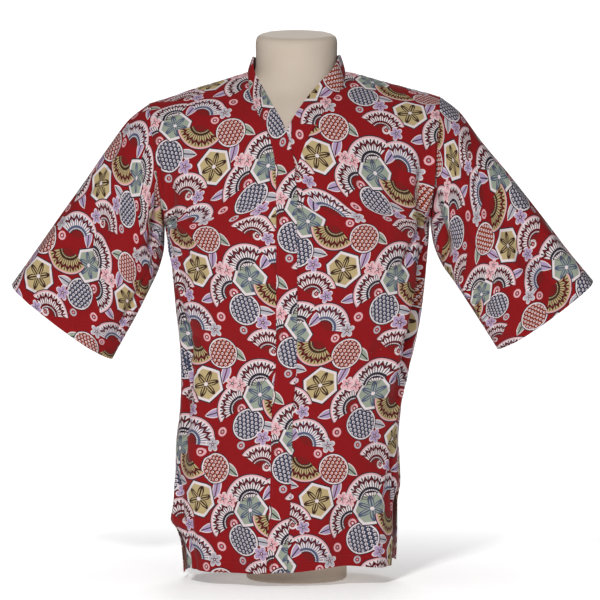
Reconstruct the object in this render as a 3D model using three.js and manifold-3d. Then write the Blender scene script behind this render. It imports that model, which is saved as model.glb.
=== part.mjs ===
// Japanese chef jacket on a limbless torso dress form.
// Millimetres, +Z up, the front faces -Y and the wearer's left is at +X.
// The origin is the middle of the dress form's flat base.
import * as THREE from 'three';
import Module from 'manifold-3d';

const wasm = await Module();
wasm.setup();

// Walls of cloth and the gaps between pieces
const CLOTH_WALL = 1.6;
const BAND_WALL = 2.2;
const SEAM_GAP = 0.35;
const BAND_GAP = 0.5;
const LAYER_GAP = 0.7;
const TOP_LIFT = BAND_WALL + LAYER_GAP;

// The jacket from below the hem to the armpit: the x of its sides, its reach to the front and back, and
// how boxy each level is (1 is an ellipse, less is boxier)
const BODY = [
  { z: 0, right: -177, left: 154, front: 128, back: 126, ease: 0.86 },
  { z: 50, right: -181, left: 157, front: 128, back: 126, ease: 0.86 },
  { z: 92, right: -189, left: 158, front: 127, back: 125, ease: 0.86 },
  { z: 150, right: -188, left: 158, front: 125, back: 121, ease: 0.85 },
  { z: 211, right: -187, left: 158, front: 122, back: 116, ease: 0.85 },
  { z: 262, right: -181, left: 162, front: 119, back: 113, ease: 0.84 },
  { z: 305, right: -179, left: 168, front: 118, back: 112, ease: 0.84 },
  { z: 350, right: -180, left: 180, front: 119, back: 113, ease: 0.83 },
  { z: 420, right: -187, left: 194, front: 123, back: 117, ease: 0.82 },
  { z: 480, right: -193, left: 201, front: 126, back: 121, ease: 0.82 },
];
const SIDE_Y = 3;

// The jacket from the armpit over the shoulder, by the turn round the armhole: the centre line's place
// front and back, how flat the level runs into the armhole, and the room between it and the dress form
const YOKE = [
  { turn: 180, frontY: -128, frontZ: 556, backY: 125, backZ: 556, ease: 0.85, room: 16 },
  { turn: 150, frontY: -127, frontZ: 592, backY: 124, backZ: 596, ease: 1.1, room: 15 },
  { turn: 120, frontY: -121, frontZ: 632, backY: 120, backZ: 640, ease: 1.4, room: 13 },
  { turn: 90, frontY: -110, frontZ: 676, backY: 112, backZ: 690, ease: 1.7, room: 10 },
  { turn: 60, frontY: -92, frontZ: 720, backY: 97, backZ: 738, ease: 1.9, room: 7 },
  { turn: 30, frontY: -56, frontZ: 760, backY: 68, backZ: 776, ease: 2, room: 5.2 },
  { turn: 0, frontY: 6, frontZ: 800, backY: 6, backZ: 800, ease: 2, room: 2.5 },
];

// The armholes, and each sleeve's flat rings from its armhole to its cuff: the ends of the ring's long
// axis above and under the arm, and its reach to the front and back of its middle
const SLEEVE_RIGHT = [
  { topX: -228, topZ: 737, underX: -204, underZ: 547, middleY: 4, front: 60, back: 64 },
  { topX: -257, topZ: 714, underX: -205.5, underZ: 516, middleY: 4, front: 62, back: 65 },
  { topX: -291, topZ: 670, underX: -213, underZ: 483, middleY: 3, front: 60, back: 62 },
  { topX: -330, topZ: 614, underX: -229, underZ: 447, middleY: 1, front: 53, back: 55 },
  { topX: -370, topZ: 558, underX: -248, underZ: 409, middleY: -1, front: 46, back: 48 },
  { topX: -405, topZ: 508, underX: -267, underZ: 375, middleY: -3, front: 40, back: 42 },
  { topX: -440, topZ: 458, underX: -285, underZ: 343, middleY: -5, front: 37, back: 38 },
];
const SLEEVE_LEFT = [
  { topX: 222, topZ: 748, underX: 207, underZ: 552, middleY: 4, front: 60, back: 64 },
  { topX: 250, topZ: 726, underX: 211.5, underZ: 523, middleY: 4, front: 62, back: 65 },
  { topX: 285, topZ: 680, underX: 224, underZ: 491, middleY: 3, front: 60, back: 62 },
  { topX: 327, topZ: 630, underX: 246, underZ: 459, middleY: 1, front: 53, back: 55 },
  { topX: 373, topZ: 572, underX: 269, underZ: 424, middleY: -1, front: 46, back: 48 },
  { topX: 418, topZ: 514, underX: 290, underZ: 390, middleY: -3, front: 40, back: 42 },
  { topX: 459, topZ: 464, underX: 310, underZ: 358, middleY: -5, front: 37, back: 38 },
];

// The hem's height round the front and back, and the vents at the foot of the side seams
const FRONT_HEM = [
  { s: -1, z: 27 }, { s: -0.5, z: 20 }, { s: 0, z: 23 },
  { s: 0.35, z: 31 }, { s: 0.62, z: 26 }, { s: 1, z: 25 },
];
const BACK_HEM = [{ s: -1, z: 9 }, { s: 0, z: 18 }, { s: 1, z: 29 }];
const VENT_RIGHT = { top: 92, inward: 12, forward: 9, backward: 4 };
const VENT_LEFT = { top: 150, inward: 10, forward: 9, backward: 4 };

// The neckband up each front and round the side of the neck: its seam with the front and its free edge.
// Where the edge leans on the neck its reach to the front is given, and lower down it lies on the front.
const BAND_RIGHT = [
  { seamZ: 20, seamX: -46, edgeX: -15, edgeZ: 22 },
  { seamZ: 150, seamX: -40, edgeX: -8.5, edgeZ: 150 },
  { seamZ: 270, seamX: -37, edgeX: -5, edgeZ: 270 },
  { seamZ: 350, seamX: -31, edgeX: 0.5, edgeZ: 350 },
  { seamZ: 480, seamX: -30.5, edgeX: 1, edgeZ: 480 },
  { seamZ: 590, seamX: -30.5, edgeX: 1, edgeZ: 592 },
  { seamZ: 636, seamX: -31.5, edgeX: -4, edgeZ: 650 },
  { seamZ: 680, seamX: -39.5, edgeX: -19, edgeZ: 703 },
  { seamZ: 712, seamX: -54, edgeX: -37, edgeZ: 736 },
  { seamZ: 744, seamX: -68, edgeX: -54, edgeY: -38, edgeZ: 767 },
  { seamZ: 764, seamX: -74, edgeX: -65.5, edgeY: -18, edgeZ: 790 },
];
const BAND_LEFT = [
  { seamZ: 20, seamX: -24, edgeX: -56, edgeZ: 22 },
  { seamZ: 150, seamX: -18, edgeX: -50, edgeZ: 150 },
  { seamZ: 270, seamX: -15, edgeX: -47, edgeZ: 270 },
  { seamZ: 350, seamX: -12, edgeX: -44, edgeZ: 350 },
  { seamZ: 480, seamX: -12, edgeX: -44, edgeZ: 480 },
  { seamZ: 590, seamX: -11, edgeX: -43, edgeZ: 596 },
  { seamZ: 632, seamX: -1, edgeX: -31, edgeZ: 648 },
  { seamZ: 680, seamX: 15, edgeX: -12, edgeZ: 702 },
  { seamZ: 716, seamX: 36, edgeX: 10, edgeZ: 738 },
  { seamZ: 746, seamX: 58, edgeX: 35, edgeY: -52, edgeZ: 769 },
  { seamZ: 766, seamX: 73, edgeX: 58, edgeY: -36, edgeZ: 793 },
];
// The free edge from the shoulder seam round to the centre back, on the wearer's right; the left one
// mirrors it and stands a little higher
const NECK_SEAM_X = 76;
const NECK_BACK_Y = 71;
const BAND_BACK = [
  { turn: 0, edgeX: -67.8, edgeY: 2, edgeZ: 810 },
  { turn: 30, edgeX: -60, edgeY: 36, edgeZ: 808 },
  { turn: 60, edgeX: -36, edgeY: 60, edgeZ: 806 },
  { turn: 90, edgeX: -0.5, edgeY: 67.5, edgeZ: 805 },
];
const NECK_LEFT_HIGHER = 3;

// The largest folds: a soft ridge, or a trough where deep is below 0, between two places on the front or
// back; s runs from -1 at the wearer's right side to 1 at the left, z is the height at the centre line
const BODY_FOLDS = [
  { face: 'front', s: 0.7, z: 700, toS: 0.82, toZ: 520, wide: 15, deep: -8 },
  { face: 'front', s: 0.84, z: 560, toS: 0.76, toZ: 290, wide: 18, deep: -10 },
  { face: 'front', s: 0.66, z: 470, toS: 0.58, toZ: 250, wide: 22, deep: 6 },
  { face: 'front', s: -0.8, z: 450, toS: -0.76, toZ: 170, wide: 18, deep: -9 },
  { face: 'front', s: -0.62, z: 380, toS: -0.56, toZ: 90, wide: 24, deep: 5 },
  { face: 'front', s: -0.72, z: 690, toS: -0.82, toZ: 520, wide: 15, deep: -5 },
  { face: 'front', s: 0.32, z: 170, toS: 0.36, toZ: -30, wide: 26, deep: -5 },
  { face: 'front', s: 0.56, z: 190, toS: 0.6, toZ: -30, wide: 22, deep: 6 },
  { face: 'front', s: -0.34, z: 150, toS: -0.38, toZ: -30, wide: 26, deep: -4 },
  { face: 'back', s: 0.74, z: 690, toS: 0.78, toZ: 430, wide: 18, deep: -7 },
  { face: 'back', s: -0.74, z: 690, toS: -0.8, toZ: 400, wide: 18, deep: -6 },
  { face: 'back', s: 0.5, z: 520, toS: 0.44, toZ: 120, wide: 26, deep: 6 },
  { face: 'back', s: -0.46, z: 480, toS: -0.5, toZ: 60, wide: 26, deep: 6 },
  { face: 'back', s: 0.72, z: 330, toS: 0.68, toZ: 10, wide: 22, deep: -7 },
  { face: 'back', s: -0.72, z: 300, toS: -0.68, toZ: 10, wide: 22, deep: -6 },
  { face: 'back', s: 0.08, z: 420, toS: 0.02, toZ: -20, wide: 30, deep: -6 },
];

// The sleeves' largest folds: along is 0 at the armhole and 1 at the cuff, round is the turn in degrees
// from the top of the arm over the front
const SLEEVE_FOLDS = [
  { along: 0.02, round: 128, toAlong: 0.42, toRound: 142, wide: 15, deep: -8 },
  { along: 0.1, round: 100, toAlong: 0.62, toRound: 118, wide: 19, deep: 5 },
  { along: 0.3, round: 62, toAlong: 1.1, toRound: 74, wide: 20, deep: -5 },
  { along: 0.5, round: 36, toAlong: 1.1, toRound: 30, wide: 17, deep: 4 },
  { along: 0.62, round: 120, toAlong: 1.1, toRound: 126, wide: 17, deep: 5 },
  { along: 0.04, round: 232, toAlong: 0.5, toRound: 220, wide: 17, deep: -7 },
  { along: 0.2, round: 262, toAlong: 0.8, toRound: 250, wide: 20, deep: 5 },
  { along: 0.45, round: 292, toAlong: 1.1, toRound: 300, wide: 20, deep: -5 },
];

// The dress form below the chest, the round foot under it, and its neck with a cap that slopes to the front
const FORM = [
  { z: 34, half: 126, front: 94, back: 96 },
  { z: 90, half: 130, front: 98, back: 99 },
  { z: 200, half: 132, front: 95, back: 93 },
  { z: 300, half: 128, front: 90, back: 86 },
  { z: 400, half: 140, front: 97, back: 91 },
  { z: 480, half: 162, front: 112, back: 103 },
];
const FORM_UNDERSIDE_Z = 34;
const FOOT = { radius: 78, height: 60, sides: 40 };
const FORM_NECK = [
  { z: 735, half: 66, front: 57, back: 63, slope: 0 },
  { z: 760, half: 64, front: 55.5, back: 61, slope: 0.3 },
  { z: 782, half: 63, front: 55, back: 59.5, slope: 0.6 },
  { z: 812, half: 63, front: 55, back: 59, slope: 1 },
  { z: 833, half: 63.5, front: 55, back: 59, slope: 1 },
  { z: 841, half: 61, front: 52.5, back: 56.5, slope: 1 },
  { z: 844, half: 56, front: 48, back: 52, slope: 1 },
];
const NECK_SLOPE = Math.tan(THREE.MathUtils.degToRad(10));
const FORM_TOP_S = 0.86;

// How finely the walls are cut
const BODY_ROWS = 26;
const FRONT_COLUMNS = 13;
const BACK_SIDE_COLUMNS = 8;
const BACK_NECK_COLUMNS = 12;
const SLEEVE_RINGS = 11;
const SLEEVE_SIDES = 26;
const BAND_NECK_STEPS = 6;
const BAND_COLUMNS = 2;
const FORM_ROWS = 20;
const FORM_COLUMNS = 18;
const NECK_SIDES = 36;

const COLOURS = { cloth: 0x9b1b20, band: 0x8e1419, form: 0xc4b5a7 };

const clamp = THREE.MathUtils.clamp;
const mix = THREE.MathUtils.lerp;
const ease = (t) => THREE.MathUtils.smoothstep(t, 0, 1);
const radians = THREE.MathUtils.degToRad;

// A smooth curve through one column of a table, which never swings past the values it joins
function through(table, by, column) {
  const at = table.map((row) => row[by]);
  const value = table.map((row) => row[column]);
  const last = at.length - 1;
  const rate = value.slice(1).map((next, i) => (next - value[i]) / (at[i + 1] - at[i]));
  const slope = value.map((unused, i) => {
    if (i === 0 || i === last) return rate[Math.min(i, last - 1)];
    if (rate[i - 1] * rate[i] <= 0) return 0;
    const before = at[i] - at[i - 1];
    const after = at[i + 1] - at[i];
    return (3 * (before + after)) / ((2 * after + before) / rate[i - 1] + (after + 2 * before) / rate[i]);
  });
  return (t) => {
    const place = clamp(t, at[0], at[last]);
    let i = 0;
    while (i < last - 1 && place > at[i + 1]) i += 1;
    const span = at[i + 1] - at[i];
    const u = (place - at[i]) / span;
    const rise = u * u * (3 - 2 * u);
    const leave = u * (1 - u) * (1 - u) * span * slope[i];
    const arrive = u * u * (1 - u) * span * slope[i + 1];
    return mix(value[i], value[i + 1], rise) + leave - arrive;
  };
}

function curves(table, by, columns) {
  return Object.fromEntries(columns.map((column) => [column, through(table, by, column)]));
}

// A point on a sleeve's ring, round degrees from the top over the front
function ringPoint(row, round) {
  const turn = radians(round);
  const up = Math.cos(turn);
  const out = Math.sin(turn);
  const reach = out > 0 ? row.front : row.back;
  return new THREE.Vector3(
    mix(row.underX, row.topX, (1 + up) / 2),
    row.middleY - out * reach,
    mix(row.underZ, row.topZ, (1 + up) / 2),
  );
}

// The levels of the jacket's body in one run, from the front hem over the shoulder to the back hem. v is
// the way along the centre line, and on the lower front it is the height itself.
function bodyLevels() {
  const levels = [];
  const add = (v, centreY, centreZ, right, left, easeValue) => {
    levels.push({
      v, centreY, centreZ, ease: easeValue,
      rightX: right.x, rightY: right.y, rightZ: right.z,
      leftX: left.x, leftY: left.y, leftZ: left.z,
    });
  };
  const addLow = (row, v, centreY) => {
    const right = { x: row.right, y: SIDE_Y, z: row.z };
    const left = { x: row.left, y: SIDE_Y, z: row.z };
    add(v, centreY, row.z, right, left, row.ease);
  };
  const step = (y, z) => {
    const last = levels[levels.length - 1];
    return last.v + Math.hypot(y - last.centreY, z - last.centreZ);
  };
  BODY.forEach((row) => addLow(row, row.z, -row.front));
  YOKE.forEach((row) => {
    const right = ringPoint(SLEEVE_RIGHT[0], row.turn);
    const left = ringPoint(SLEEVE_LEFT[0], row.turn);
    add(step(row.frontY, row.frontZ), row.frontY, row.frontZ, right, left, row.ease);
  });
  YOKE.slice(0, -1).reverse().forEach((row) => {
    const right = ringPoint(SLEEVE_RIGHT[0], 360 - row.turn);
    const left = ringPoint(SLEEVE_LEFT[0], 360 - row.turn);
    add(step(row.backY, row.backZ), row.backY, row.backZ, right, left, row.ease);
  });
  const backArmpit = levels[levels.length - 1];
  [...BODY].reverse().forEach((row) => addLow(row, backArmpit.v + backArmpit.centreZ - row.z, row.back));
  return levels;
}

const LEVELS = bodyLevels();
const LEVEL_COLUMNS = ['centreY', 'centreZ', 'ease', 'rightX', 'rightY', 'rightZ', 'leftX', 'leftY', 'leftZ'];
const level = curves(LEVELS, 'v', LEVEL_COLUMNS);
const V_ARMPIT_FRONT = LEVELS[BODY.length].v;
const V_RIDGE = LEVELS[BODY.length + YOKE.length - 1].v;
const V_ARMPIT_BACK = LEVELS[BODY.length + 2 * YOKE.length - 2].v;
const V_BACK_ZERO = LEVELS[LEVELS.length - 1].v;
const lowBack = (z) => V_BACK_ZERO - z;

const SOFT = 0.2;
const rampOver = (across) => (Math.hypot(across, SOFT) - SOFT) / (Math.hypot(1, SOFT) - SOFT);

// The body's smooth surface, before folds: v along the centre line and s from side to side
function smoothBody(v, s) {
  const side = s < 0 ? 'right' : 'left';
  const endX = level[`${side}X`](v);
  const endY = level[`${side}Y`](v);
  const endZ = level[`${side}Z`](v);
  const middleX = (level.rightX(v) + level.leftX(v)) / 2;
  const turn = (Math.min(Math.abs(s), 1) * Math.PI) / 2;
  const across = Math.sin(turn);
  const deep = Math.max(Math.cos(turn), 0) ** level.ease(v);
  return new THREE.Vector3(
    mix(middleX, endX, across),
    mix(endY, level.centreY(v), deep),
    mix(level.centreZ(v), endZ, rampOver(across)),
  );
}

function bodyNormal(v, s) {
  const low = Math.max(s - 0.006, -1);
  const high = Math.min(s + 0.006, 1);
  const along = smoothBody(v, high).sub(smoothBody(v, low));
  const up = smoothBody(v + 1, s).sub(smoothBody(v - 1, s));
  return along.cross(up).normalize();
}

// How deep one fold is at a place, both in millimetres across the cloth
function foldAt(fold, fromA, fromB, toA, toB, a, b) {
  const runA = toA - fromA;
  const runB = toB - fromB;
  const length = Math.hypot(runA, runB);
  const t = ((a - fromA) * runA + (b - fromB) * runB) / (length * length);
  const away = Math.abs((a - fromA) * runB - (b - fromB) * runA) / length;
  const fade = ease(t / 0.3) * ease((1 - t) / 0.3);
  return fold.deep * fade * Math.exp(-((away / fold.wide) ** 2));
}

const HALF_ROUND = 270;

function bodyFolds(v, s) {
  const face = v < V_RIDGE ? 'front' : 'back';
  const place = (z) => (face === 'front' ? z : lowBack(z));
  const sum = BODY_FOLDS.filter((fold) => fold.face === face)
    .map((fold) => foldAt(
      fold, fold.s * HALF_ROUND, place(fold.z), fold.toS * HALF_ROUND, place(fold.toZ), s * HALF_ROUND, v,
    ))
    .reduce((total, depth) => total + depth, 0);
  return sum * (1 - Math.abs(s) ** 10);
}

// Below the top of a vent the front's side edge swings in and forward, and the back's edge backward
function ventShift(v, s, z) {
  const vent = s < 0 ? VENT_RIGHT : VENT_LEFT;
  const amount = ease((vent.top - z) / 45) * ease((Math.abs(s) - 0.72) / 0.28);
  if (v < V_RIDGE) return new THREE.Vector3(-Math.sign(s) * vent.inward * amount, -vent.forward * amount, 0);
  return new THREE.Vector3(0, vent.backward * amount, 0);
}

// The jacket's outer surface, out millimetres further from the body
function bodyPoint(v, s, out) {
  const point = smoothBody(v, s);
  const shift = ventShift(v, s, point.z);
  return point.addScaledVector(bodyNormal(v, s), bodyFolds(v, s) + out).add(shift);
}

// Both faces of a wall at one place of the body
function bodyWall(v, s, wall, out = 0) {
  return { outer: bodyPoint(v, s, out), inner: bodyPoint(v, s, out - wall) };
}

function sAt(v, x) {
  const middle = (level.rightX(v) + level.leftX(v)) / 2;
  const end = x < middle ? level.rightX(v) : level.leftX(v);
  const turn = Math.asin(clamp((x - middle) / (end - middle), 0, 1));
  return (x < middle ? -1 : 1) * turn * (2 / Math.PI);
}

// The place on the front that is seen at x and z
function onFront(x, z) {
  let low = -20;
  let high = V_RIDGE;
  for (let i = 0; i < 40; i += 1) {
    const v = (low + high) / 2;
    if (smoothBody(v, sAt(v, x)).z < z) low = v;
    else high = v;
  }
  return { v: low, s: sAt(low, x) };
}

// A closed wall from a grid of places, each with an outer and an inner point. Where rings close, each row
// joins round to its start.
function wallMesh(name, grid, closes, colour) {
  const rows = grid.length;
  const columns = grid[0].length;
  const points = [];
  const faces = [];
  const at = (j, i, side) => (j * columns + (i % columns)) * 2 + side;
  grid.forEach((row) => row.forEach((place) => points.push(place.outer, place.inner)));
  const quad = (a, b, c, d) => faces.push([a, b, c], [a, c, d]);
  const spans = closes ? columns : columns - 1;
  for (let j = 0; j < rows - 1; j += 1) {
    for (let i = 0; i < spans; i += 1) {
      quad(at(j, i, 0), at(j, i + 1, 0), at(j + 1, i + 1, 0), at(j + 1, i, 0));
      quad(at(j, i, 1), at(j + 1, i, 1), at(j + 1, i + 1, 1), at(j, i + 1, 1));
    }
  }
  for (let i = 0; i < spans; i += 1) {
    quad(at(0, i, 0), at(0, i, 1), at(0, i + 1, 1), at(0, i + 1, 0));
    quad(at(rows - 1, i, 0), at(rows - 1, i + 1, 0), at(rows - 1, i + 1, 1), at(rows - 1, i, 1));
  }
  if (!closes) {
    for (let j = 0; j < rows - 1; j += 1) {
      quad(at(j, 0, 0), at(j + 1, 0, 0), at(j + 1, 0, 1), at(j, 0, 1));
      const i = columns - 1;
      quad(at(j, i, 0), at(j, i, 1), at(j + 1, i, 1), at(j + 1, i, 0));
    }
  }
  return meshOf(name, points, faces, colour);
}

// A mesh from points and triangles, with equal points made one and its faces turned outward
function meshOf(name, points, faces, colour) {
  const index = new Map();
  const positions = [];
  const same = points.map((point) => {
    const key = point.toArray().map((value) => Math.round(value * 500)).join();
    if (!index.has(key)) {
      index.set(key, positions.length / 3);
      positions.push(...point.toArray());
    }
    return index.get(key);
  });
  let triangles = faces.map((face) => face.map((corner) => same[corner]))
    .filter(([a, b, c]) => a !== b && b !== c && c !== a);
  const corner = (i) => new THREE.Vector3().fromArray(positions, i * 3);
  const volume = triangles.reduce((sum, [a, b, c]) => sum + corner(a).dot(corner(b).cross(corner(c))), 0);
  if (volume < 0) triangles = triangles.map(([a, b, c]) => [a, c, b]);
  const geometry = new THREE.BufferGeometry();
  geometry.setAttribute('position', new THREE.Float32BufferAttribute(positions, 3));
  geometry.setIndex(triangles.flat());
  geometry.computeVertexNormals();
  const material = new THREE.MeshStandardMaterial({ color: colour, roughness: 0.85, metalness: 0 });
  const mesh = new THREE.Mesh(geometry, material);
  mesh.name = name;
  return mesh;
}

const steps = (count) => Array.from({ length: count + 1 }, (unused, i) => i / count);

const frontHem = through(FRONT_HEM, 's', 'z');
const backHem = through(BACK_HEM, 's', 'z');

// The top layer's front stands off the one under it
function topLift(x, z) {
  return TOP_LIFT * ease((x + 98) / 42) * ease((768 - z) / 50);
}

// Rows lie closer together towards the shoulder, where the cloth turns over
const rowHeights = (count) => steps(count).map((t) => 1 - (1 - t) ** 1.4);
const EDGE_S = 1 - 0.0011;

// The seam of a front with its neckband, one place for each row of the front
function seamRows(side) {
  const sign = side === 'right' ? -1 : 1;
  const table = side === 'right' ? BAND_RIGHT : BAND_LEFT;
  const neckX = sign * NECK_SEAM_X;
  const neckEnd = { seamX: neckX, seamZ: smoothBody(V_RIDGE, sAt(V_RIDGE, neckX)).z };
  const seamX = through([...table, neckEnd], 'seamZ', 'seamX');
  const rows = rowHeights(BODY_ROWS).map((up) => {
    const top = V_RIDGE - SEAM_GAP / 2;
    let x = 0;
    let v = top;
    for (let i = 0; i < 12; i += 1) {
      v = mix(frontHem(sAt(v, x)), top, up);
      x = seamX(smoothBody(v, sAt(v, x)).z);
    }
    return { up, v, x, z: smoothBody(v, sAt(v, x)).z };
  });
  return { sign, seamX, rows, neckEnd };
}

// A front, from its seam with the neckband to its side edge
function front(name, side, lifts) {
  const { sign, rows } = seamRows(side);
  const grid = rows.map((row) => steps(FRONT_COLUMNS).map((over) => {
    const s = mix(sAt(row.v, row.x + sign * BAND_GAP), sign * EDGE_S, over);
    const v = mix(frontHem(s), V_RIDGE - SEAM_GAP / 2, row.up);
    const place = smoothBody(v, s);
    return bodyWall(v, s, CLOTH_WALL, lifts ? topLift(place.x, place.z) : 0);
  }));
  return wallMesh(name, grid, false, COLOURS.cloth);
}

// The back neckline leaves the shoulder seams and runs round the back of the neck
function backTop(s) {
  const x = smoothBody(V_RIDGE, s).x;
  const start = V_RIDGE + SEAM_GAP / 2;
  if (Math.abs(x) >= NECK_SEAM_X) return start;
  const ridgeY = smoothBody(V_RIDGE, s).y;
  const wanted = mix(ridgeY, NECK_BACK_Y, Math.sqrt(1 - (x / NECK_SEAM_X) ** 2));
  let low = start;
  let high = V_ARMPIT_BACK;
  for (let i = 0; i < 40; i += 1) {
    const v = (low + high) / 2;
    if (smoothBody(v, s).y < wanted) low = v;
    else high = v;
  }
  return low;
}

function back() {
  const neckS = Math.abs(sAt(V_RIDGE, -NECK_SEAM_X));
  const outer = steps(BACK_SIDE_COLUMNS).map((t) => mix(-EDGE_S, -neckS, t));
  const middle = steps(BACK_NECK_COLUMNS).slice(1).map((t) => -neckS * Math.cos(Math.PI * t));
  const across = [...outer, ...middle, ...outer.slice(0, -1).reverse().map((s) => -s)];
  const grid = rowHeights(BODY_ROWS).map((up) => across.map((s) => {
    const v = mix(lowBack(backHem(s)), backTop(s), up);
    return bodyWall(v, s, CLOTH_WALL);
  }));
  return wallMesh('back', grid, false, COLOURS.cloth);
}

const RING_COLUMNS = ['topX', 'topZ', 'underX', 'underZ', 'middleY', 'front', 'back'];

function sleeveSurface(rings) {
  const rows = rings.map((row, i) => ({ ...row, along: i / (rings.length - 1) }));
  const ring = curves(rows, 'along', RING_COLUMNS);
  return (along, round) => {
    const row = Object.fromEntries(RING_COLUMNS.map((column) => [column, ring[column](along)]));
    return ringPoint(row, round);
  };
}

const ARM_RADIUS = 75;
const ARM_LENGTH = 300;
// The front and back of a cuff hang lower than its two ends
const CUFF_BOW = 9;

function sleeveFolds(along, round) {
  const across = (degrees) => radians(degrees) * ARM_RADIUS;
  const depth = SLEEVE_FOLDS.map((fold) => foldAt(
    fold, fold.along * ARM_LENGTH, across(fold.round), fold.toAlong * ARM_LENGTH, across(fold.toRound),
    along * ARM_LENGTH, across(round),
  ));
  return depth.reduce((total, one) => total + one, 0) * ease(along / 0.12);
}

function sleeve(name, rings, sign) {
  const surface = sleeveSurface(rings);
  const start = 0.0048;
  const grid = steps(SLEEVE_RINGS).map((t) => {
    const along = mix(start, 1, t);
    return steps(SLEEVE_SIDES).slice(0, -1).map((turn) => {
      const round = turn * 360;
      const away = Math.max(along, 0.01);
      const about = surface(away, round + 0.5).sub(surface(away, round - 0.5));
      const down = surface(Math.min(away + 0.01, 1), round).sub(surface(away - 0.01, round));
      const normal = about.cross(down).multiplyScalar(sign).normalize();
      const bow = CUFF_BOW * ease((along - 0.5) / 0.5) * Math.abs(Math.sin(radians(round)));
      const outer = surface(along, round)
        .addScaledVector(normal, sleeveFolds(along, round))
        .addScaledVector(down.normalize(), bow);
      return { outer, inner: outer.clone().addScaledVector(normal, -CLOTH_WALL) };
    });
  });
  return wallMesh(name, grid, true, COLOURS.cloth);
}

// Half of the neckband, from the hem up the front edge and round the neck to the centre back. Its way is
// counted by the height of its seam, and past the shoulder seam by the turn round the neck.
function band(name, side, lifts) {
  const { sign, seamX, rows, neckEnd } = seamRows(side);
  const shoulder = neckEnd.seamZ;
  const laid = (side === 'right' ? BAND_RIGHT : BAND_LEFT).map((row) => {
    const place = onFront(row.edgeX, row.edgeZ);
    return { edgeY: smoothBody(place.v, place.s).y, ...row, way: row.seamZ };
  });
  const standing = BAND_BACK.map((row) => ({
    way: shoulder + row.turn,
    edgeX: row.edgeX * -sign,
    edgeY: row.edgeY,
    edgeZ: row.edgeZ + (side === 'left' ? NECK_LEFT_HIGHER : 0),
  }));
  const edge = curves([...laid, ...standing], 'way', ['edgeX', 'edgeY', 'edgeZ']);
  const seamAt = (way) => {
    if (way > shoulder) {
      const x = sign * Math.max(NECK_SEAM_X * Math.cos(radians(way - shoulder)), 0.5);
      const s = sAt(V_RIDGE, x);
      return bodyPoint(backTop(s), s, 0).add(new THREE.Vector3(0, 0, 1.5 * BAND_GAP));
    }
    const place = onFront(seamX(way), way);
    return bodyPoint(place.v, place.s, lifts ? topLift(seamX(way), way) : 0);
  };
  const point = (way, over) => {
    const seam = seamAt(way);
    const free = new THREE.Vector3(edge.edgeX(way), edge.edgeY(way), edge.edgeZ(way));
    const straight = seam.clone().lerp(free, over);
    const upright = ease((way - 700) / 50);
    if (upright === 1) return straight;
    const x = mix(seamX(way), free.x, over);
    const z = mix(way, free.z, over);
    const place = onFront(x, z);
    const flat = bodyPoint(place.v, place.s, lifts ? topLift(x, z) : 0);
    return flat.lerp(straight, upright);
  };
  const end = shoulder + 90;
  const normalAt = (way, over) => {
    const along = point(Math.min(way + 1, end), over).sub(point(way - 1, over));
    const across = point(way, Math.min(over + 0.05, 1)).sub(point(way, Math.max(over - 0.05, 0)));
    return across.cross(along).multiplyScalar(-sign).normalize();
  };
  const pastShoulder = steps(BAND_NECK_STEPS).slice(1).map((t) => shoulder + 90 * t);
  const ways = [...rows.map((row) => row.z), ...pastShoulder];
  const grid = ways.map((way) => steps(BAND_COLUMNS).map((over) => {
    const outer = point(way, over);
    const inner = outer.clone().addScaledVector(normalAt(way, over), -BAND_WALL);
    return { outer, inner };
  }));
  return wallMesh(name, grid, false, COLOURS.band);
}

// The dress form's torso: a symmetric lower part that runs into the shape under the jacket's yoke
const form = curves(FORM, 'z', ['half', 'front', 'back']);
const room = through(YOKE.map((row) => ({ ...row, up: 180 - row.turn })), 'up', 'room');

function formPoint(up, s, face) {
  const low = mix(FORM_UNDERSIDE_Z, 560, up);
  const turn = (s * Math.PI) / 2;
  const reach = face === 'front' ? -form.front(low) : form.back(low);
  const lower = new THREE.Vector3(form.half(low) * Math.sin(turn), reach * Math.cos(turn) ** 0.85, low);
  const above = Math.max(up - 0.86, 0) / 0.14;
  const armpit = face === 'front' ? V_ARMPIT_FRONT : V_ARMPIT_BACK;
  const below = face === 'front' ? -78 : 78;
  const v = up < 1 ? mix(armpit + below, armpit, above) : mix(armpit, V_RIDGE, up - 1);
  const topS = s * FORM_TOP_S;
  const upper = smoothBody(v, topS).addScaledVector(bodyNormal(v, topS), -room(Math.max(up - 1, 0) * 180));
  return lower.lerp(upper, ease(above));
}

function torsoSolid() {
  const half = FORM_ROWS / 2;
  const levels = [...steps(half), ...rowHeights(half).slice(1).map((t) => 1 + t)];
  const points = [];
  levels.forEach((up, j) => {
    const rowOf = (face) => steps(FORM_COLUMNS).map((t) => formPoint(up, mix(-1, 1, t), face));
    const frontRow = rowOf('front');
    const backRow = rowOf('back');
    if (j === levels.length - 1) {
      frontRow.forEach((point, i) => {
        point.lerp(backRow[i], 0.5);
        backRow[i].copy(point);
      });
    }
    points.push(...frontRow, ...backRow.reverse());
  });
  const size = 2 * (FORM_COLUMNS + 1);
  const faces = [];
  for (let j = 0; j < levels.length - 1; j += 1) {
    for (let i = 0; i < size; i += 1) {
      const a = j * size + i;
      const b = j * size + ((i + 1) % size);
      faces.push([a, b, b + size], [a, b + size, a + size]);
    }
  }
  points.push(new THREE.Vector3(0, 0, FORM_UNDERSIDE_Z));
  for (let i = 0; i < size; i += 1) faces.push([points.length - 1, (i + 1) % size, i]);
  return meshOf('torso', points, faces, COLOURS.form);
}

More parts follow.
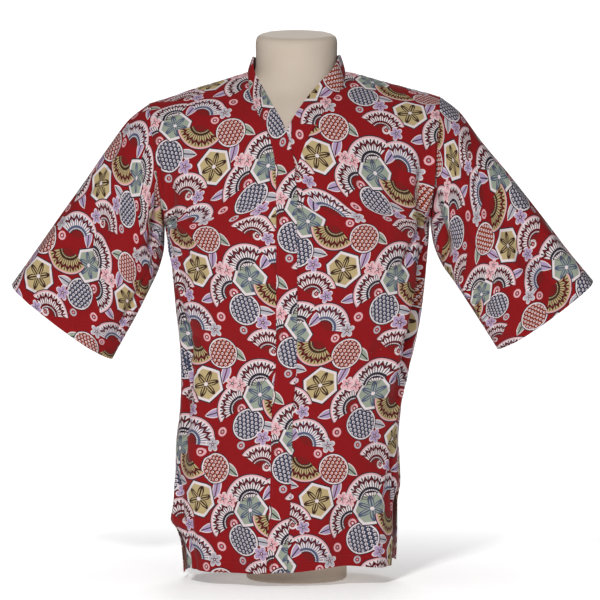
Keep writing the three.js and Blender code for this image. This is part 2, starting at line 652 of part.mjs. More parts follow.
// The neck: oval rings under a flat cap that slopes to the front
function neckSolid() {
  const points = [];
  const faces = [];
  FORM_NECK.forEach((row) => {
    for (let i = 0; i < NECK_SIDES; i += 1) {
      const turn = (i / NECK_SIDES) * 2 * Math.PI;
      const y = Math.sin(turn) * (Math.sin(turn) < 0 ? row.front : row.back);
      points.push(new THREE.Vector3(row.half * Math.cos(turn), y, row.z + y * NECK_SLOPE * row.slope));
    }
  });
  const rings = FORM_NECK.length;
  for (let j = 0; j < rings - 1; j += 1) {
    for (let i = 0; i < NECK_SIDES; i += 1) {
      const a = j * NECK_SIDES + i;
      const b = j * NECK_SIDES + ((i + 1) % NECK_SIDES);
      faces.push([a, b, b + NECK_SIDES], [a, b + NECK_SIDES, a + NECK_SIDES]);
    }
  }
  const cap = (rings - 1) * NECK_SIDES;
  points.push(new THREE.Vector3(0, 0, FORM_NECK[0].z), new THREE.Vector3(0, 0, FORM_NECK[rings - 1].z));
  for (let i = 0; i < NECK_SIDES; i += 1) {
    const next = (i + 1) % NECK_SIDES;
    faces.push([points.length - 2, next, i], [points.length - 1, cap + i, cap + next]);
  }
  return meshOf('neck', points, faces, COLOURS.form);
}

function solidOf(mesh) {
  const { geometry } = mesh;
  return new wasm.Manifold(new wasm.Mesh({
    numProp: 3,
    vertProperties: new Float32Array(geometry.attributes.position.array),
    triVerts: new Uint32Array(geometry.index.array),
  }));
}

function footSolid() {
  const rim = [[0, 0], [FOOT.radius - 2, 0], [FOOT.radius, 2], [FOOT.radius, FOOT.height], [0, FOOT.height]];
  const lathe = new THREE.LatheGeometry(rim.map(([r, z]) => new THREE.Vector2(r, z)), FOOT.sides);
  lathe.rotateX(Math.PI / 2);
  const { position } = lathe.attributes;
  const corners = [...lathe.index.array];
  const points = [];
  const faces = [];
  for (let i = 0; i < position.count; i += 1) {
    points.push(new THREE.Vector3().fromBufferAttribute(position, i));
  }
  for (let i = 0; i < corners.length; i += 3) faces.push(corners.slice(i, i + 3));
  return meshOf('foot', points, faces, COLOURS.form);
}

function dressForm() {
  const torsoAndNeck = solidOf(torsoSolid()).add(solidOf(neckSolid()));
  const joined = torsoAndNeck.add(solidOf(footSolid())).getMesh();
  const points = [];
  for (let i = 0; i < joined.vertProperties.length; i += joined.numProp) {
    points.push(new THREE.Vector3().fromArray(joined.vertProperties, i));
  }
  const faces = [];
  const corners = joined.triVerts;
  for (let i = 0; i < corners.length; i += 3) faces.push([...corners.slice(i, i + 3)]);
  return meshOf('dress_form', points, faces, COLOURS.form);
}

const jacket = new THREE.Group();
jacket.add(
  dressForm(),
  back(),
  front('front_right', 'right', true),
  front('front_left', 'left', false),
  sleeve('sleeve_right', SLEEVE_RIGHT, -1),
  sleeve('sleeve_left', SLEEVE_LEFT, 1),
  band('band_right', 'right', true),
  band('band_left', 'left', false),
);

export default jacket;
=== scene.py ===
"""A Japanese chef jacket on a limbless torso dress form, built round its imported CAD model.

The frame is the CAD model's: metres, +Z up, the front faces -Y, the wearer's left at +X. The tables and
surface functions work in millimetres, as the CAD source does, and meshes are scaled as they are made.
"""
import math

import bmesh
import bpy
import numpy as np
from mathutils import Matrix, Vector


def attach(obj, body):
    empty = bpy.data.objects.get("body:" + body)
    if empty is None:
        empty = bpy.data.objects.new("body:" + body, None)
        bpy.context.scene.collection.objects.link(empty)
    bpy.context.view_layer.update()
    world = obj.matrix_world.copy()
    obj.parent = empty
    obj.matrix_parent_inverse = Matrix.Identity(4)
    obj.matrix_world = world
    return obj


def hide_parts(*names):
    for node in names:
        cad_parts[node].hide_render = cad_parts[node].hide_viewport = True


MM = 0.001

SIDES = ("right", "left")
SIGN = {"right": -1, "left": 1}

# Cloth thickness, in millimetres
CLOTH = 0.9
HEM_CLOTH = 1.7
BAND_CLOTH = 2.2
LAYER_GAP = 0.7
TOP_LIFT = BAND_CLOTH + LAYER_GAP
TOP_LIFT_X = -98
TOP_LIFT_Z = 768


def table(columns, *rows):
    """A table as one array of numbers for each named column."""
    return {name: np.array(values, float) for name, values in zip(columns.split(), zip(*rows))}


# The jacket's body, from under the hem to the armpit
BODY = table(
    "z right left front back ease",
    (0, -177, 154, 128, 126, 0.86),
    (50, -181, 157, 128, 126, 0.86),
    (92, -189, 158, 127, 125, 0.86),
    (150, -188, 158, 125, 121, 0.85),
    (211, -187, 158, 122, 116, 0.85),
    (262, -181, 162, 119, 113, 0.84),
    (305, -179, 168, 118, 112, 0.84),
    (350, -180, 180, 119, 113, 0.83),
    (420, -187, 194, 123, 117, 0.82),
    (480, -193, 201, 126, 121, 0.82),
)
SIDE_Y = 3

# The yoke, by the turn round the armhole, with the room between it and the dress form
YOKE = table(
    "turn frontY frontZ backY backZ ease room",
    (180, -128, 556, 125, 556, 0.85, 16),
    (150, -127, 592, 124, 596, 1.1, 15),
    (120, -121, 632, 120, 640, 1.4, 13),
    (90, -110, 676, 112, 690, 1.7, 10),
    (60, -92, 720, 97, 738, 1.9, 7),
    (30, -56, 760, 68, 776, 2, 5.2),
    (0, 6, 800, 6, 800, 2, 2.5),
)

# Each sleeve's flat rings, from its armhole to its cuff
RING_COLUMNS = "topX topZ underX underZ middleY front back"
SLEEVE_RIGHT = table(
    RING_COLUMNS,
    (-228, 737, -204, 547, 4, 60, 64),
    (-257, 714, -205.5, 516, 4, 62, 65),
    (-291, 670, -213, 483, 3, 60, 62),
    (-330, 614, -229, 447, 1, 53, 55),
    (-370, 558, -248, 409, -1, 46, 48),
    (-405, 508, -267, 375, -3, 40, 42),
    (-440, 458, -285, 343, -5, 37, 38),
)
SLEEVE_LEFT = table(
    RING_COLUMNS,
    (222, 748, 207, 552, 4, 60, 64),
    (250, 726, 211.5, 523, 4, 62, 65),
    (285, 680, 224, 491, 3, 60, 62),
    (327, 630, 246, 459, 1, 53, 55),
    (373, 572, 269, 424, -1, 46, 48),
    (418, 514, 290, 390, -3, 40, 42),
    (459, 464, 310, 358, -5, 37, 38),
)
SLEEVES = {"right": SLEEVE_RIGHT, "left": SLEEVE_LEFT}

# The hem's height round the front and back, and the vents at the foot of the side seams
FRONT_HEM = table("s z", (-1, 27), (-0.5, 20), (0, 23), (0.35, 31), (0.62, 26), (1, 25))
BACK_HEM = table("s z", (-1, 9), (0, 18), (1, 29))
VENTS = {
    "right": {"top": 92, "inward": 13, "backInward": 2, "flare": 7},
    "left": {"top": 150, "inward": 10, "backInward": 1, "flare": 2},
}
VENT_FORWARD = 9
VENT_BACKWARD = 4
VENT_NEAR_S = 0.72
VENT_SWING = 34
FLARE_ABOVE = 22
FLARE_BELOW = 16

# The neckband: its seam with the front and its free edge, then the free edge round the back of the neck.
# A reach to the front of None lies on the front.
BAND_COLUMNS = "seamZ seamX edgeX edgeY edgeZ"
BAND_RIGHT = table(
    BAND_COLUMNS,
    (20, -46, -15, None, 22),
    (150, -40, -8.5, None, 150),
    (270, -37, -5, None, 270),
    (350, -31, 0.5, None, 350),
    (480, -30.5, 1, None, 480),
    (590, -30.5, 1, None, 592),
    (636, -31.5, -4, None, 650),
    (680, -39.5, -19, None, 703),
    (712, -54, -37, None, 736),
    (744, -68, -54, -38, 767),
    (764, -74, -65.5, -18, 790),
)
BAND_LEFT = table(
    BAND_COLUMNS,
    (20, -24, -56, None, 22),
    (150, -18, -50, None, 150),
    (270, -15, -47, None, 270),
    (350, -12, -44, None, 350),
    (480, -12, -44, None, 480),
    (590, -11, -43, None, 596),
    (632, -1, -31, None, 648),
    (680, 15, -12, None, 702),
    (716, 36, 10, None, 738),
    (746, 58, 35, -52, 769),
    (766, 73, 58, -36, 793),
)
BANDS = {"right": BAND_RIGHT, "left": BAND_LEFT}
BAND_BACK = table(
    "turn edgeX edgeY edgeZ",
    (0, -67.8, 2, 810),
    (30, -60, 36, 808),
    (60, -36, 60, 806),
    (90, -0.5, 67.5, 805),
)
NECK_SEAM_X = 76
NECK_BACK_Y = 71
NECK_LEFT_HIGHER = 3
BAND_WIDTH = 32
UNDER_BAND = 4
BAND_TUCK = 1.5

# Seams and stitched lines: their places from an edge, and the stitches' sizes
HEM_LINE = 16
HEM_DOUBLE = 15
HEM_EDGE = 2.5
PUCKER_WIDE = 9
CUFF_DEEPER = 2
BAND_LINE = 3.5
STITCH_ROW = 15.5
VENT_STITCH_S = 0.955
STITCH = 2.8
STITCH_GAP = 0.9
THREAD_RADIUS = 0.24
THREAD_ARCH = 0.22
THREAD_SUNK = 0.1

# Folds across the body, which the CAD solids have too
FOLD_COLUMNS = "s z toS toZ wide deep"
FRONT_FOLDS = table(
    FOLD_COLUMNS,
    (0.7, 700, 0.82, 520, 15, -8),
    (0.84, 560, 0.76, 290, 18, -10),
    (0.66, 470, 0.58, 250, 22, 6),
    (-0.8, 450, -0.76, 170, 18, -9),
    (-0.62, 380, -0.56, 90, 24, 5),
    (-0.72, 690, -0.82, 520, 15, -5),
    (0.32, 170, 0.36, -30, 26, -5),
    (0.56, 190, 0.6, -30, 22, 6),
    (-0.34, 150, -0.38, -30, 26, -4),
)
BACK_FOLDS = table(
    FOLD_COLUMNS,
    (0.74, 690, 0.78, 430, 18, -7),
    (-0.74, 690, -0.8, 400, 18, -6),
    (0.5, 520, 0.44, 120, 26, 6),
    (-0.46, 480, -0.5, 60, 26, 6),
    (0.72, 330, 0.68, 10, 22, -7),
    (-0.72, 300, -0.68, 10, 22, -6),
    (0.08, 420, 0.02, -20, 30, -6),
)

# Smaller creases, which only the cloth here has
FRONT_CREASES = table(
    FOLD_COLUMNS,
    (0.99, 690, 0.95, 530, 9, -5),
    (0.9, 610, 0.88, 400, 9, -5.4),
    (0.96, 520, 0.82, 350, 8, -4.6),
    (0.9, 600, 0.55, 470, 7, -2.4),
    (0.93, 575, 0.64, 400, 6, 2.2),
    (0.94, 545, 0.8, 380, 6, -2.6),
    (0.86, 480, 0.7, 330, 8, 2.4),
    (0.9, 420, 0.66, 300, 7, -2.2),
    (0.92, 350, 0.72, 230, 8, 2),
    (0.55, 690, 0.5, 590, 10, -1.4),
    (0.44, 640, 0.52, 520, 12, 1.2),
    (0.86, 710, 0.88, 610, 7, 2.2),
    (0.2, 560, 0.3, 380, 16, -1.3),
    (0.42, 420, 0.36, 260, 15, 1.4),
    (0.5, 310, 0.3, 220, 12, -1.2),
    (0.78, 250, 0.8, 90, 10, -2.4),
    (0.46, 150, 0.5, 10, 12, -2),
    (-0.96, 640, -0.9, 470, 9, -3.4),
    (-0.9, 430, -0.84, 250, 8, -3),
    (-0.9, 600, -0.58, 480, 7, -2),
    (-0.93, 560, -0.68, 400, 7, 1.8),
    (-0.92, 470, -0.74, 330, 7, -2.2),
    (-0.88, 380, -0.72, 230, 8, 2.2),
    (-0.9, 300, -0.7, 190, 7, -1.8),
    (-0.5, 680, -0.44, 570, 11, -1.3),
    (-0.3, 590, -0.42, 420, 16, 1.3),
    (-0.4, 400, -0.3, 250, 15, -1.3),
    (-0.48, 250, -0.54, 60, 12, -1.8),
    (-0.84, 200, -0.86, 70, 9, 2.2),
    (-0.22, 130, -0.2, 0, 14, 1.4),
    (-0.86, 710, -0.87, 620, 7, -1.8),
)
BACK_CREASES = table(
    FOLD_COLUMNS,
    (0.92, 590, 0.5, 500, 8, -2.2),
    (0.93, 550, 0.6, 420, 7, 2),
    (0.9, 470, 0.68, 340, 8, -2.2),
    (-0.92, 600, -0.48, 510, 8, -2),
    (-0.93, 560, -0.62, 430, 7, 2.2),
    (-0.9, 460, -0.66, 320, 8, -2),
    (0.24, 640, 0.3, 470, 15, 1.3),
    (-0.2, 620, -0.28, 450, 15, -1.3),
    (0.3, 390, 0.24, 190, 15, 1.6),
    (-0.26, 360, -0.32, 150, 14, -1.6),
    (0.86, 240, 0.88, 90, 9, 2.2),
    (-0.86, 230, -0.84, 80, 9, -2.2),
    (0.5, 200, 0.54, 20, 12, -1.8),
    (-0.16, 190, -0.18, 20, 12, 1.8),
)

# The sleeves' folds and creases: along is 0 at the armhole, round is the turn from the top over the front
SLEEVE_FOLD_COLUMNS = "along round toAlong toRound wide deep"
SLEEVE_FOLDS = table(
    SLEEVE_FOLD_COLUMNS,
    (0.02, 128, 0.42, 142, 15, -8),
    (0.1, 100, 0.62, 118, 19, 5),
    (0.3, 62, 1.1, 74, 20, -5),
    (0.5, 36, 1.1, 30, 17, 4),
    (0.62, 120, 1.1, 126, 17, 5),
    (0.04, 232, 0.5, 220, 17, -7),
    (0.2, 262, 0.8, 250, 20, 5),
    (0.45, 292, 1.1, 300, 20, -5),
)
SLEEVE_CREASES = {
    "right": table(
        SLEEVE_FOLD_COLUMNS,
        (-0.06, 100, 0.24, 166, 14, -7),
        (0, 150, 0.34, 104, 7, -2.6),
        (0.02, 160, 0.5, 130, 7, 2.4),
        (0.06, 84, 0.36, 70, 9, -1.8),
        (0.3, 92, 0.72, 84, 9, 1.8),
        (0.56, 98, 0.96, 100, 9, -2.2),
        (0.64, 56, 1.1, 52, 9, 1.8),
        (0.2, 30, 0.6, 34, 11, -1.6),
        (0.4, 148, 0.9, 150, 9, -2.2),
        (0, 214, 0.36, 250, 8, -2.4),
        (0.3, 286, 0.8, 276, 10, 1.8),
        (0.6, 240, 1.1, 236, 9, -2.2),
        (0.5, 318, 1.1, 322, 11, -1.6),
    ),
    "left": table(
        SLEEVE_FOLD_COLUMNS,
        (-0.06, 102, 0.2, 164, 12, -5),
        (0, 154, 0.3, 110, 7, -2.6),
        (0.03, 140, 0.46, 96, 8, 2.2),
        (0.1, 70, 0.44, 60, 9, -1.8),
        (0.36, 104, 0.8, 106, 9, -2),
        (0.5, 82, 0.94, 88, 9, 2.2),
        (0.7, 64, 1.1, 58, 9, -1.8),
        (0.24, 24, 0.66, 30, 11, 1.4),
        (0.44, 156, 0.92, 152, 9, 2),
        (0, 208, 0.4, 246, 8, -2.4),
        (0.36, 280, 0.84, 270, 10, -1.8),
        (0.56, 234, 1.1, 240, 9, 2.2),
        (0.46, 324, 1.1, 316, 11, -1.6),
    ),
}

# The small short creases of the front and of the back: how many each, where they start, and their sizes
SMALL_COUNT = 64
SMALL_S = (0.5, 0.95)
SMALL_Z = (60, 600)
SMALL_LENGTH = (35, 120)
SMALL_WIDE = (4.5, 8.5)
SMALL_DEEP = (0.5, 1.5)
ARMPIT_SLANT = math.radians(52)
WAIST_SLANT = math.radians(14)
HEM_SLANT = math.radians(84)
WAIST_LOW = 250
WAIST_HIGH = 430
HIP_Z = 260
SLANT_SPREAD = 0.16

# The cloth's flat width from centre to side seam, the arm's flat sizes, and how strongly folds are drawn
HALF_ROUND = 270
SIDE_WIDTH = 200
ARM_RADIUS = 75
ARM_LENGTH = 300
CUFF_BOW = 9
FOLD_FADE = 0.35
FOLD_GAIN = 1.8
CREASE_GAIN = 3.2

# The dress form below the chest, its foot and its neck
FORM = table(
    "z half front back",
    (34, 126, 94, 96),
    (90, 130, 98, 99),
    (200, 132, 95, 93),
    (300, 128, 90, 86),
    (400, 140, 97, 91),
    (480, 162, 112, 103),
)
FORM_UNDERSIDE_Z = 34
FOOT_RADIUS = 78
FOOT_HEIGHT = 60
FOOT_PROFILE = (
    (FOOT_RADIUS - 2.5, 0),
    (FOOT_RADIUS - 0.8, 0.8),
    (FOOT_RADIUS, 2.5),
    (FOOT_RADIUS, FOOT_HEIGHT),
)
FORM_NECK = table(
    "z half front back slope",
    (735, 66, 57, 63, 0),
    (760, 64, 55.5, 61, 0.3),
    (782, 63, 55, 59.5, 0.6),
    (812, 63, 55, 59, 1),
    (833, 63.5, 55, 59, 1),
    (841, 61, 52.5, 56.5, 1),
    (844, 56, 48, 52, 1),
)
NECK_SLOPE = math.tan(math.radians(10))
FORM_TOP_S = 0.86
CHEST_Z = 560
CHEST_BLEND = 78
CHEST_START = 0.86
FORM_ROUNDNESS = 0.85
NECK_LOW = 735
NECK_TOP = 844

# How finely the cloth is cut
BODY_ROWS = 170
FRONT_COLUMNS = 76
BACK_SIDE_COLUMNS = 50
BACK_NECK_COLUMNS = 56
SLEEVE_RINGS = 110
SLEEVE_SIDES = 150
BAND_ROWS = 300
BAND_NECK_ROWS = 60
BAND_ACROSS = 14
FORM_LEVELS = 60
FORM_VOXEL = 3.6

# The camera, from the photograph's scale of 1.55 mm to a pixel at the neck
CAMERA_AIM = (0.0054, 0, 0.433)
CAMERA_DISTANCE = 6
CAMERA_ELEVATION = 2.5
FRAME_WIDTH = 0.93
SENSOR = 36
STUDIO_SIDES = 0.1
STUDIO_BEHIND = 1.1
STUDIO_FRONT = 0.06
FLOOR_RADIUS = 1.5
FLOOR_GLOW = 0.22
FLOOR_RIM_GLOW = 0.8


def mix(a, b, t):
    return a + (b - a) * t


def ease(t):
    t = np.clip(t, 0, 1)
    return t * t * (3 - 2 * t)


def bell(distance, wide):
    return np.exp(-((distance / wide) ** 2))


def through(at, value):
    """A smooth curve through a table's column, which never swings past the values it joins."""
    rate = np.diff(value) / np.diff(at)
    slope = np.zeros_like(value)
    slope[0], slope[-1] = rate[0], rate[-1]
    before, after = np.diff(at)[:-1], np.diff(at)[1:]
    for i in range(1, len(at) - 1):
        if rate[i - 1] * rate[i] > 0:
            low = (2 * after[i - 1] + before[i - 1]) / rate[i - 1]
            high = (after[i - 1] + 2 * before[i - 1]) / rate[i]
            slope[i] = 3 * (before[i - 1] + after[i - 1]) / (low + high)

    def curve(t):
        place = np.clip(t, at[0], at[-1])
        i = np.clip(np.searchsorted(at, place, side="right") - 1, 0, len(at) - 2)
        span = at[i + 1] - at[i]
        u = (place - at[i]) / span
        rise = u * u * (3 - 2 * u)
        bend = u * (1 - u) * span * ((1 - u) * slope[i] - u * slope[i + 1])
        return mix(value[i], value[i + 1], rise) + bend

    return curve


def curves(rows, by, columns):
    return {column: through(rows[by], rows[column]) for column in columns.split()}


def ring_point(row, turn):
    """A point of a sleeve's ring, at a turn in degrees from the top over the front."""
    up = (1 + np.cos(np.radians(turn))) / 2
    out = np.sin(np.radians(turn))
    reach = np.where(out > 0, row["front"], row["back"])
    x = mix(row["underX"], row["topX"], up)
    z = mix(row["underZ"], row["topZ"], up)
    return np.stack([x, row["middleY"] - out * reach, z], axis=-1)


def rows_of(columns):
    """A table as a list of rows."""
    return [dict(zip(columns, values)) for values in zip(*columns.values())]


def body_levels():
    """The levels of the jacket's body, from the front hem over the shoulder to the back hem."""
    low, yoke = rows_of(BODY), rows_of(YOKE)
    armholes = [rows_of(SLEEVES[side])[0] for side in SIDES]
    levels = []

    def add_low(row, v, y):
        z = row["z"]
        levels.append((v, y, z, row["ease"], row["right"], SIDE_Y, z, row["left"], SIDE_Y, z))

    def add_high(row, y, z, turn):
        v = levels[-1][0] + math.hypot(y - levels[-1][1], z - levels[-1][2])
        right, left = [ring_point(armhole, turn) for armhole in armholes]
        levels.append((v, y, z, row["ease"], *right, *left))

    for row in low:
        add_low(row, row["z"], -row["front"])
    for row in yoke:
        add_high(row, row["frontY"], row["frontZ"], row["turn"])
    for row in reversed(yoke[:-1]):
        add_high(row, row["backY"], row["backZ"], 360 - row["turn"])
    armpit_v, armpit_z = levels[-1][0], levels[-1][2]
    for row in reversed(low):
        add_low(row, armpit_v + armpit_z - row["z"], row["back"])
    return table("v " + LEVEL_COLUMNS, *levels)


LEVEL_COLUMNS = "centreY centreZ ease rightX rightY rightZ leftX leftY leftZ"
LEVELS = body_levels()
LEVEL = curves(LEVELS, "v", LEVEL_COLUMNS)
LOW_COUNT = len(BODY["z"])
YOKE_COUNT = len(YOKE["turn"])
V_ARMPIT_FRONT = LEVELS["v"][LOW_COUNT]
V_RIDGE = LEVELS["v"][LOW_COUNT + YOKE_COUNT - 1]
V_ARMPIT_BACK = LEVELS["v"][LOW_COUNT + 2 * YOKE_COUNT - 2]
V_BACK_ZERO = LEVELS["v"][-1]
SOFT = 0.2


def ramp_over(across):
    return (np.hypot(across, SOFT) - SOFT) / (math.hypot(1, SOFT) - SOFT)


def smooth_body(v, s):
    """The body's smooth surface: v along the centre line, s from -1 at the right side to 1 at the left."""
    v, s = np.broadcast_arrays(np.asarray(v, float), np.asarray(s, float))
    end = [np.where(s < 0, LEVEL["right" + axis](v), LEVEL["left" + axis](v)) for axis in "XYZ"]
    middle = (LEVEL["rightX"](v) + LEVEL["leftX"](v)) / 2
    turn = np.minimum(np.abs(s), 1) * math.pi / 2
    across = np.sin(turn)
    deep = np.maximum(np.cos(turn), 0) ** LEVEL["ease"](v)
    x = mix(middle, end[0], across)
    y = mix(end[1], LEVEL["centreY"](v), deep)
    z = mix(LEVEL["centreZ"](v), end[2], ramp_over(across))
    return np.stack([x, y, z], axis=-1)


def unit(vectors):
    return vectors / np.maximum(np.linalg.norm(vectors, axis=-1, keepdims=True), 1e-9)


def body_normal(v, s):
    step = 0.006
    along = smooth_body(v, np.minimum(s + step, 1)) - smooth_body(v, np.maximum(s - step, -1))
    up = smooth_body(v + 1, s) - smooth_body(v - 1, s)
    return unit(np.cross(along, up))


def fold_at(start, end, wide, deep, a, b, sharp):
    """How deep one fold is at a place, in millimetres. A sharp one has a narrow crest."""
    run = np.subtract(end, start)
    length = math.hypot(*run)
    t = ((a - start[0]) * run[0] + (b - start[1]) * run[1]) / length**2
    away = ((a - start[0]) * run[1] - (b - start[1]) * run[0]) / (length * wide)
    crest = 1 / (1 + away**2) ** 2 if sharp else bell(away, 1)
    return deep * ease(t / FOLD_FADE) * ease((1 - t) / FOLD_FADE) * crest


def folds_on(rows, flat, a, b, sharp):
    """The depth of a table's folds at a place. The function flat turns a row's place into millimetres."""
    total = np.zeros(np.broadcast(a, b).shape)
    gain = CREASE_GAIN if sharp else FOLD_GAIN
    for first, second, to_first, to_second, wide, deep in zip(*rows.values()):
        start, end = flat(first, second), flat(to_first, to_second)
        total += fold_at(start, end, wide, deep * gain, a, b, sharp)
    return total


def flat_body(s, z):
    return s * HALF_ROUND, z


def flat_sleeve(along, turn):
    return along * ARM_LENGTH, math.radians(turn) * ARM_RADIUS


def small_creases(seed):
    """Short creases by the side seams: slanting at the armpits, level at the waist, upright at the hem."""
    chance = np.random.default_rng(seed)
    rows = []
    for _ in range(SMALL_COUNT):
        side = chance.choice((-1, 1))
        s = side * chance.uniform(*SMALL_S)
        z = chance.uniform(*SMALL_Z)
        upright = ease((HIP_Z - z) / 120)
        level = ease((z - WAIST_LOW) / 60) * ease((WAIST_HIGH - z) / 60)
        slant = mix(mix(ARMPIT_SLANT, WAIST_SLANT, level), HEM_SLANT, upright)
        slant += chance.normal(0, SLANT_SPREAD)
        length = chance.uniform(*SMALL_LENGTH)
        to_s = s - side * math.cos(slant) * length / HALF_ROUND
        to_z = z - math.sin(slant) * length
        deep = chance.choice((-1, 1)) * chance.uniform(*SMALL_DEEP)
        rows.append((s, z, to_s, to_z, chance.uniform(*SMALL_WIDE), deep))
    return table(FOLD_COLUMNS, *rows)


SMALL_FRONT = small_creases(seed=11)
SMALL_BACK = small_creases(seed=23)


def ripple(a, b):
    """A slow unevenness of the cloth, in millimetres."""
    return (
        0.5 * np.sin(a / 31 + 1.3 * np.sin(b / 83)) * np.sin(b / 57 + 0.7)
        + 0.35 * np.sin(a / 17 + b / 43 + 2.1)
        + 0.2 * np.sin(a / 11 - b / 23 + 0.4)
    )


def panel_folds(folds, creases, small, across, z):
    total = folds_on(folds, flat_body, across, z, False)
    for rows in (creases, small):
        total = total + folds_on(rows, flat_body, across, z, True)
    return total


def body_folds(v, s):
    across = s * HALF_ROUND
    front_depth = panel_folds(FRONT_FOLDS, FRONT_CREASES, SMALL_FRONT, across, v)
    back_depth = panel_folds(BACK_FOLDS, BACK_CREASES, SMALL_BACK, across, V_BACK_ZERO - v)
    depth = np.where(v < V_RIDGE, front_depth, back_depth) + ripple(across, v)
    return depth * (1 - np.abs(s) ** 24)


def vent_value(s, name):
    return np.where(s < 0, VENTS["right"][name], VENTS["left"][name])


def vent_shift(v, s, z):
    """The side seam flares just above its vent. Below, the edges swing inward and away from each other."""
    near_side = ease((np.abs(s) - VENT_NEAR_S) / (1 - VENT_NEAR_S))
    above = z - vent_value(s, "top")
    amount = ease(-above / VENT_SWING) * near_side
    fade = np.where(above > 0, bell(above, FLARE_ABOVE), ease(1 + above / FLARE_BELOW))
    flare = vent_value(s, "flare") * fade
    on_top = v < V_RIDGE
    inward = np.where(on_top, vent_value(s, "inward"), vent_value(s, "backInward")) * amount
    x = np.sign(s) * (flare * near_side - inward)
    y = np.where(on_top, -VENT_FORWARD, VENT_BACKWARD) * amount
    return np.stack([x, y, np.zeros_like(x)], axis=-1)


def body_point(v, s, out=0.0):
    v, s = np.broadcast_arrays(np.asarray(v, float), np.asarray(s, float))
    point = smooth_body(v, s)
    depth = body_folds(v, s) + out
    return point + body_normal(v, s) * depth[..., None] + vent_shift(v, s, point[..., 2])


def s_at(v, x):
    middle = (LEVEL["rightX"](v) + LEVEL["leftX"](v)) / 2
    end = np.where(x < middle, LEVEL["rightX"](v), LEVEL["leftX"](v))
    turn = np.arcsin(np.clip((x - middle) / (end - middle), 0, 1))
    return np.where(x < middle, -1, 1) * turn * (2 / math.pi)


def solve(low, high, goes_up):
    """The place between low and high where goes_up turns false."""
    for _ in range(26):
        middle = (low + high) / 2
        up = goes_up(middle)
        low = np.where(up, middle, low)
        high = np.where(up, high, middle)
    return low


def on_front(x, z):
    start = np.full(np.broadcast(x, z).shape, -20.0)
    v = solve(start, np.full_like(start, V_RIDGE), lambda v: smooth_body(v, s_at(v, x))[..., 2] < z)
    return v, s_at(v, x)


front_hem = through(FRONT_HEM["s"], FRONT_HEM["z"])
back_hem = through(BACK_HEM["s"], BACK_HEM["z"])


def top_lift(side, x, z):
    """How far a front lies out over the other one: the right one is on top."""
    if side == "left":
        return 0.0
    return TOP_LIFT * ease((x - TOP_LIFT_X) / 42) * ease((TOP_LIFT_Z - z) / 50)


def spread(count, bunched=0.6):
    """Places from 0 to 1 that lie closer together at both ends."""
    t = np.linspace(0, 1, count + 1)
    return t - bunched * np.sin(2 * math.pi * t) / (2 * math.pi)


def row_heights(count):
    return 1 - (1 - np.linspace(0, 1, count + 1)) ** 1.4


def seam_rows(side):
    """A front's rows from hem to shoulder, with the neckband's seam on each."""
    neck_x = SIGN[side] * NECK_SEAM_X
    neck_z = float(smooth_body(V_RIDGE, s_at(V_RIDGE, neck_x))[2])
    rows = BANDS[side]
    seam_x = through(np.append(rows["seamZ"], neck_z), np.append(rows["seamX"], neck_x))
    up = row_heights(BODY_ROWS)
    x = np.zeros_like(up)
    for _ in range(14):
        v = mix(front_hem(s_at(np.full_like(up, V_RIDGE), x)), V_RIDGE, up)
        v = mix(front_hem(s_at(v, x)), V_RIDGE, up)
        x = seam_x(smooth_body(v, s_at(v, x))[..., 2])
    return {"seam_x": seam_x, "up": up, "v": v, "x": x, "neck_z": neck_z}


def to_mesh(name, vertices, faces):
    mesh = bpy.data.meshes.new(name)
    mesh.from_pydata([tuple(vertex) for vertex in np.asarray(vertices) * MM], [], faces)
    return mesh


def add_object(name, data):
    thing = bpy.data.objects.new(name, data)
    bpy.context.scene.collection.objects.link(thing)
    return thing


def face_outward(mesh, join=False):
    """Turns a closed mesh's faces outward, and first joins the vertices that lie on one another."""
    shell = bmesh.new()
    shell.from_mesh(mesh)
    if join:
        bmesh.ops.remove_doubles(shell, verts=shell.verts, dist=1e-6)
    bmesh.ops.recalc_face_normals(shell, faces=shell.faces)
    shell.to_mesh(mesh)
    shell.free()


def smooth_shaded(mesh, sharp_degrees):
    mesh.shade_smooth()
    mesh.set_sharp_from_angle(angle=math.radians(sharp_degrees))


def wall(name, outer, inner, uv):
    """A closed thin wall from grids of its outer and inner points, with the print's coordinates."""
    rows, columns = outer.shape[:2]
    count = rows * columns
    vertices = np.concatenate([outer.reshape(-1, 3), inner.reshape(-1, 3)])
    index = np.arange(count).reshape(rows, columns)
    a, b, c, d = index[:-1, :-1], index[:-1, 1:], index[1:, 1:], index[1:, :-1]
    outside = np.stack([a, b, c, d], axis=-1).reshape(-1, 4)
    inside = outside[:, ::-1] + count
    rim = np.concatenate([index[0, :], index[1:, -1], index[-1, -2::-1], index[-2:0:-1, 0]])
    following = np.roll(rim, -1)
    rims = np.stack([rim, rim + count, following + count, following], axis=-1)
    faces = np.concatenate([outside, inside, rims])
    mesh = to_mesh(name, vertices, faces.tolist())
    mesh.validate()
    layer = mesh.uv_layers.new(name="print")
    flat = np.concatenate([uv.reshape(-1, 2), uv.reshape(-1, 2)])
    corners = np.zeros(len(mesh.loops), dtype=np.int64)
    mesh.loops.foreach_get("vertex_index", corners)
    layer.data.foreach_set("uv", (flat[corners] * MM).astype(np.float32).ravel())
    material = np.zeros(len(mesh.polygons), dtype=np.int32)
    material[len(outside):len(outside) + len(inside)] = 1
    mesh.polygons.foreach_set("material_index", material)
    face_outward(mesh)
    smooth_shaded(mesh, 55)
    return add_object(name, mesh)


def line_lengths(points):
    """How far each point of a line lies along it."""
    steps = np.linalg.norm(np.diff(points, axis=0), axis=-1)
    return np.concatenate([[0], np.cumsum(steps)])


def row_lengths(grid, column):
    """How far each point of a grid lies along its row from one column."""
    length = np.stack([line_lengths(row) for row in grid])
    return length - length[:, [column]]


def seam_dip(distance, deep=0.9, wide=2.6):
    """A seam pulls the cloth in along its line, and it puckers a little."""
    return -deep * bell(distance, wide)


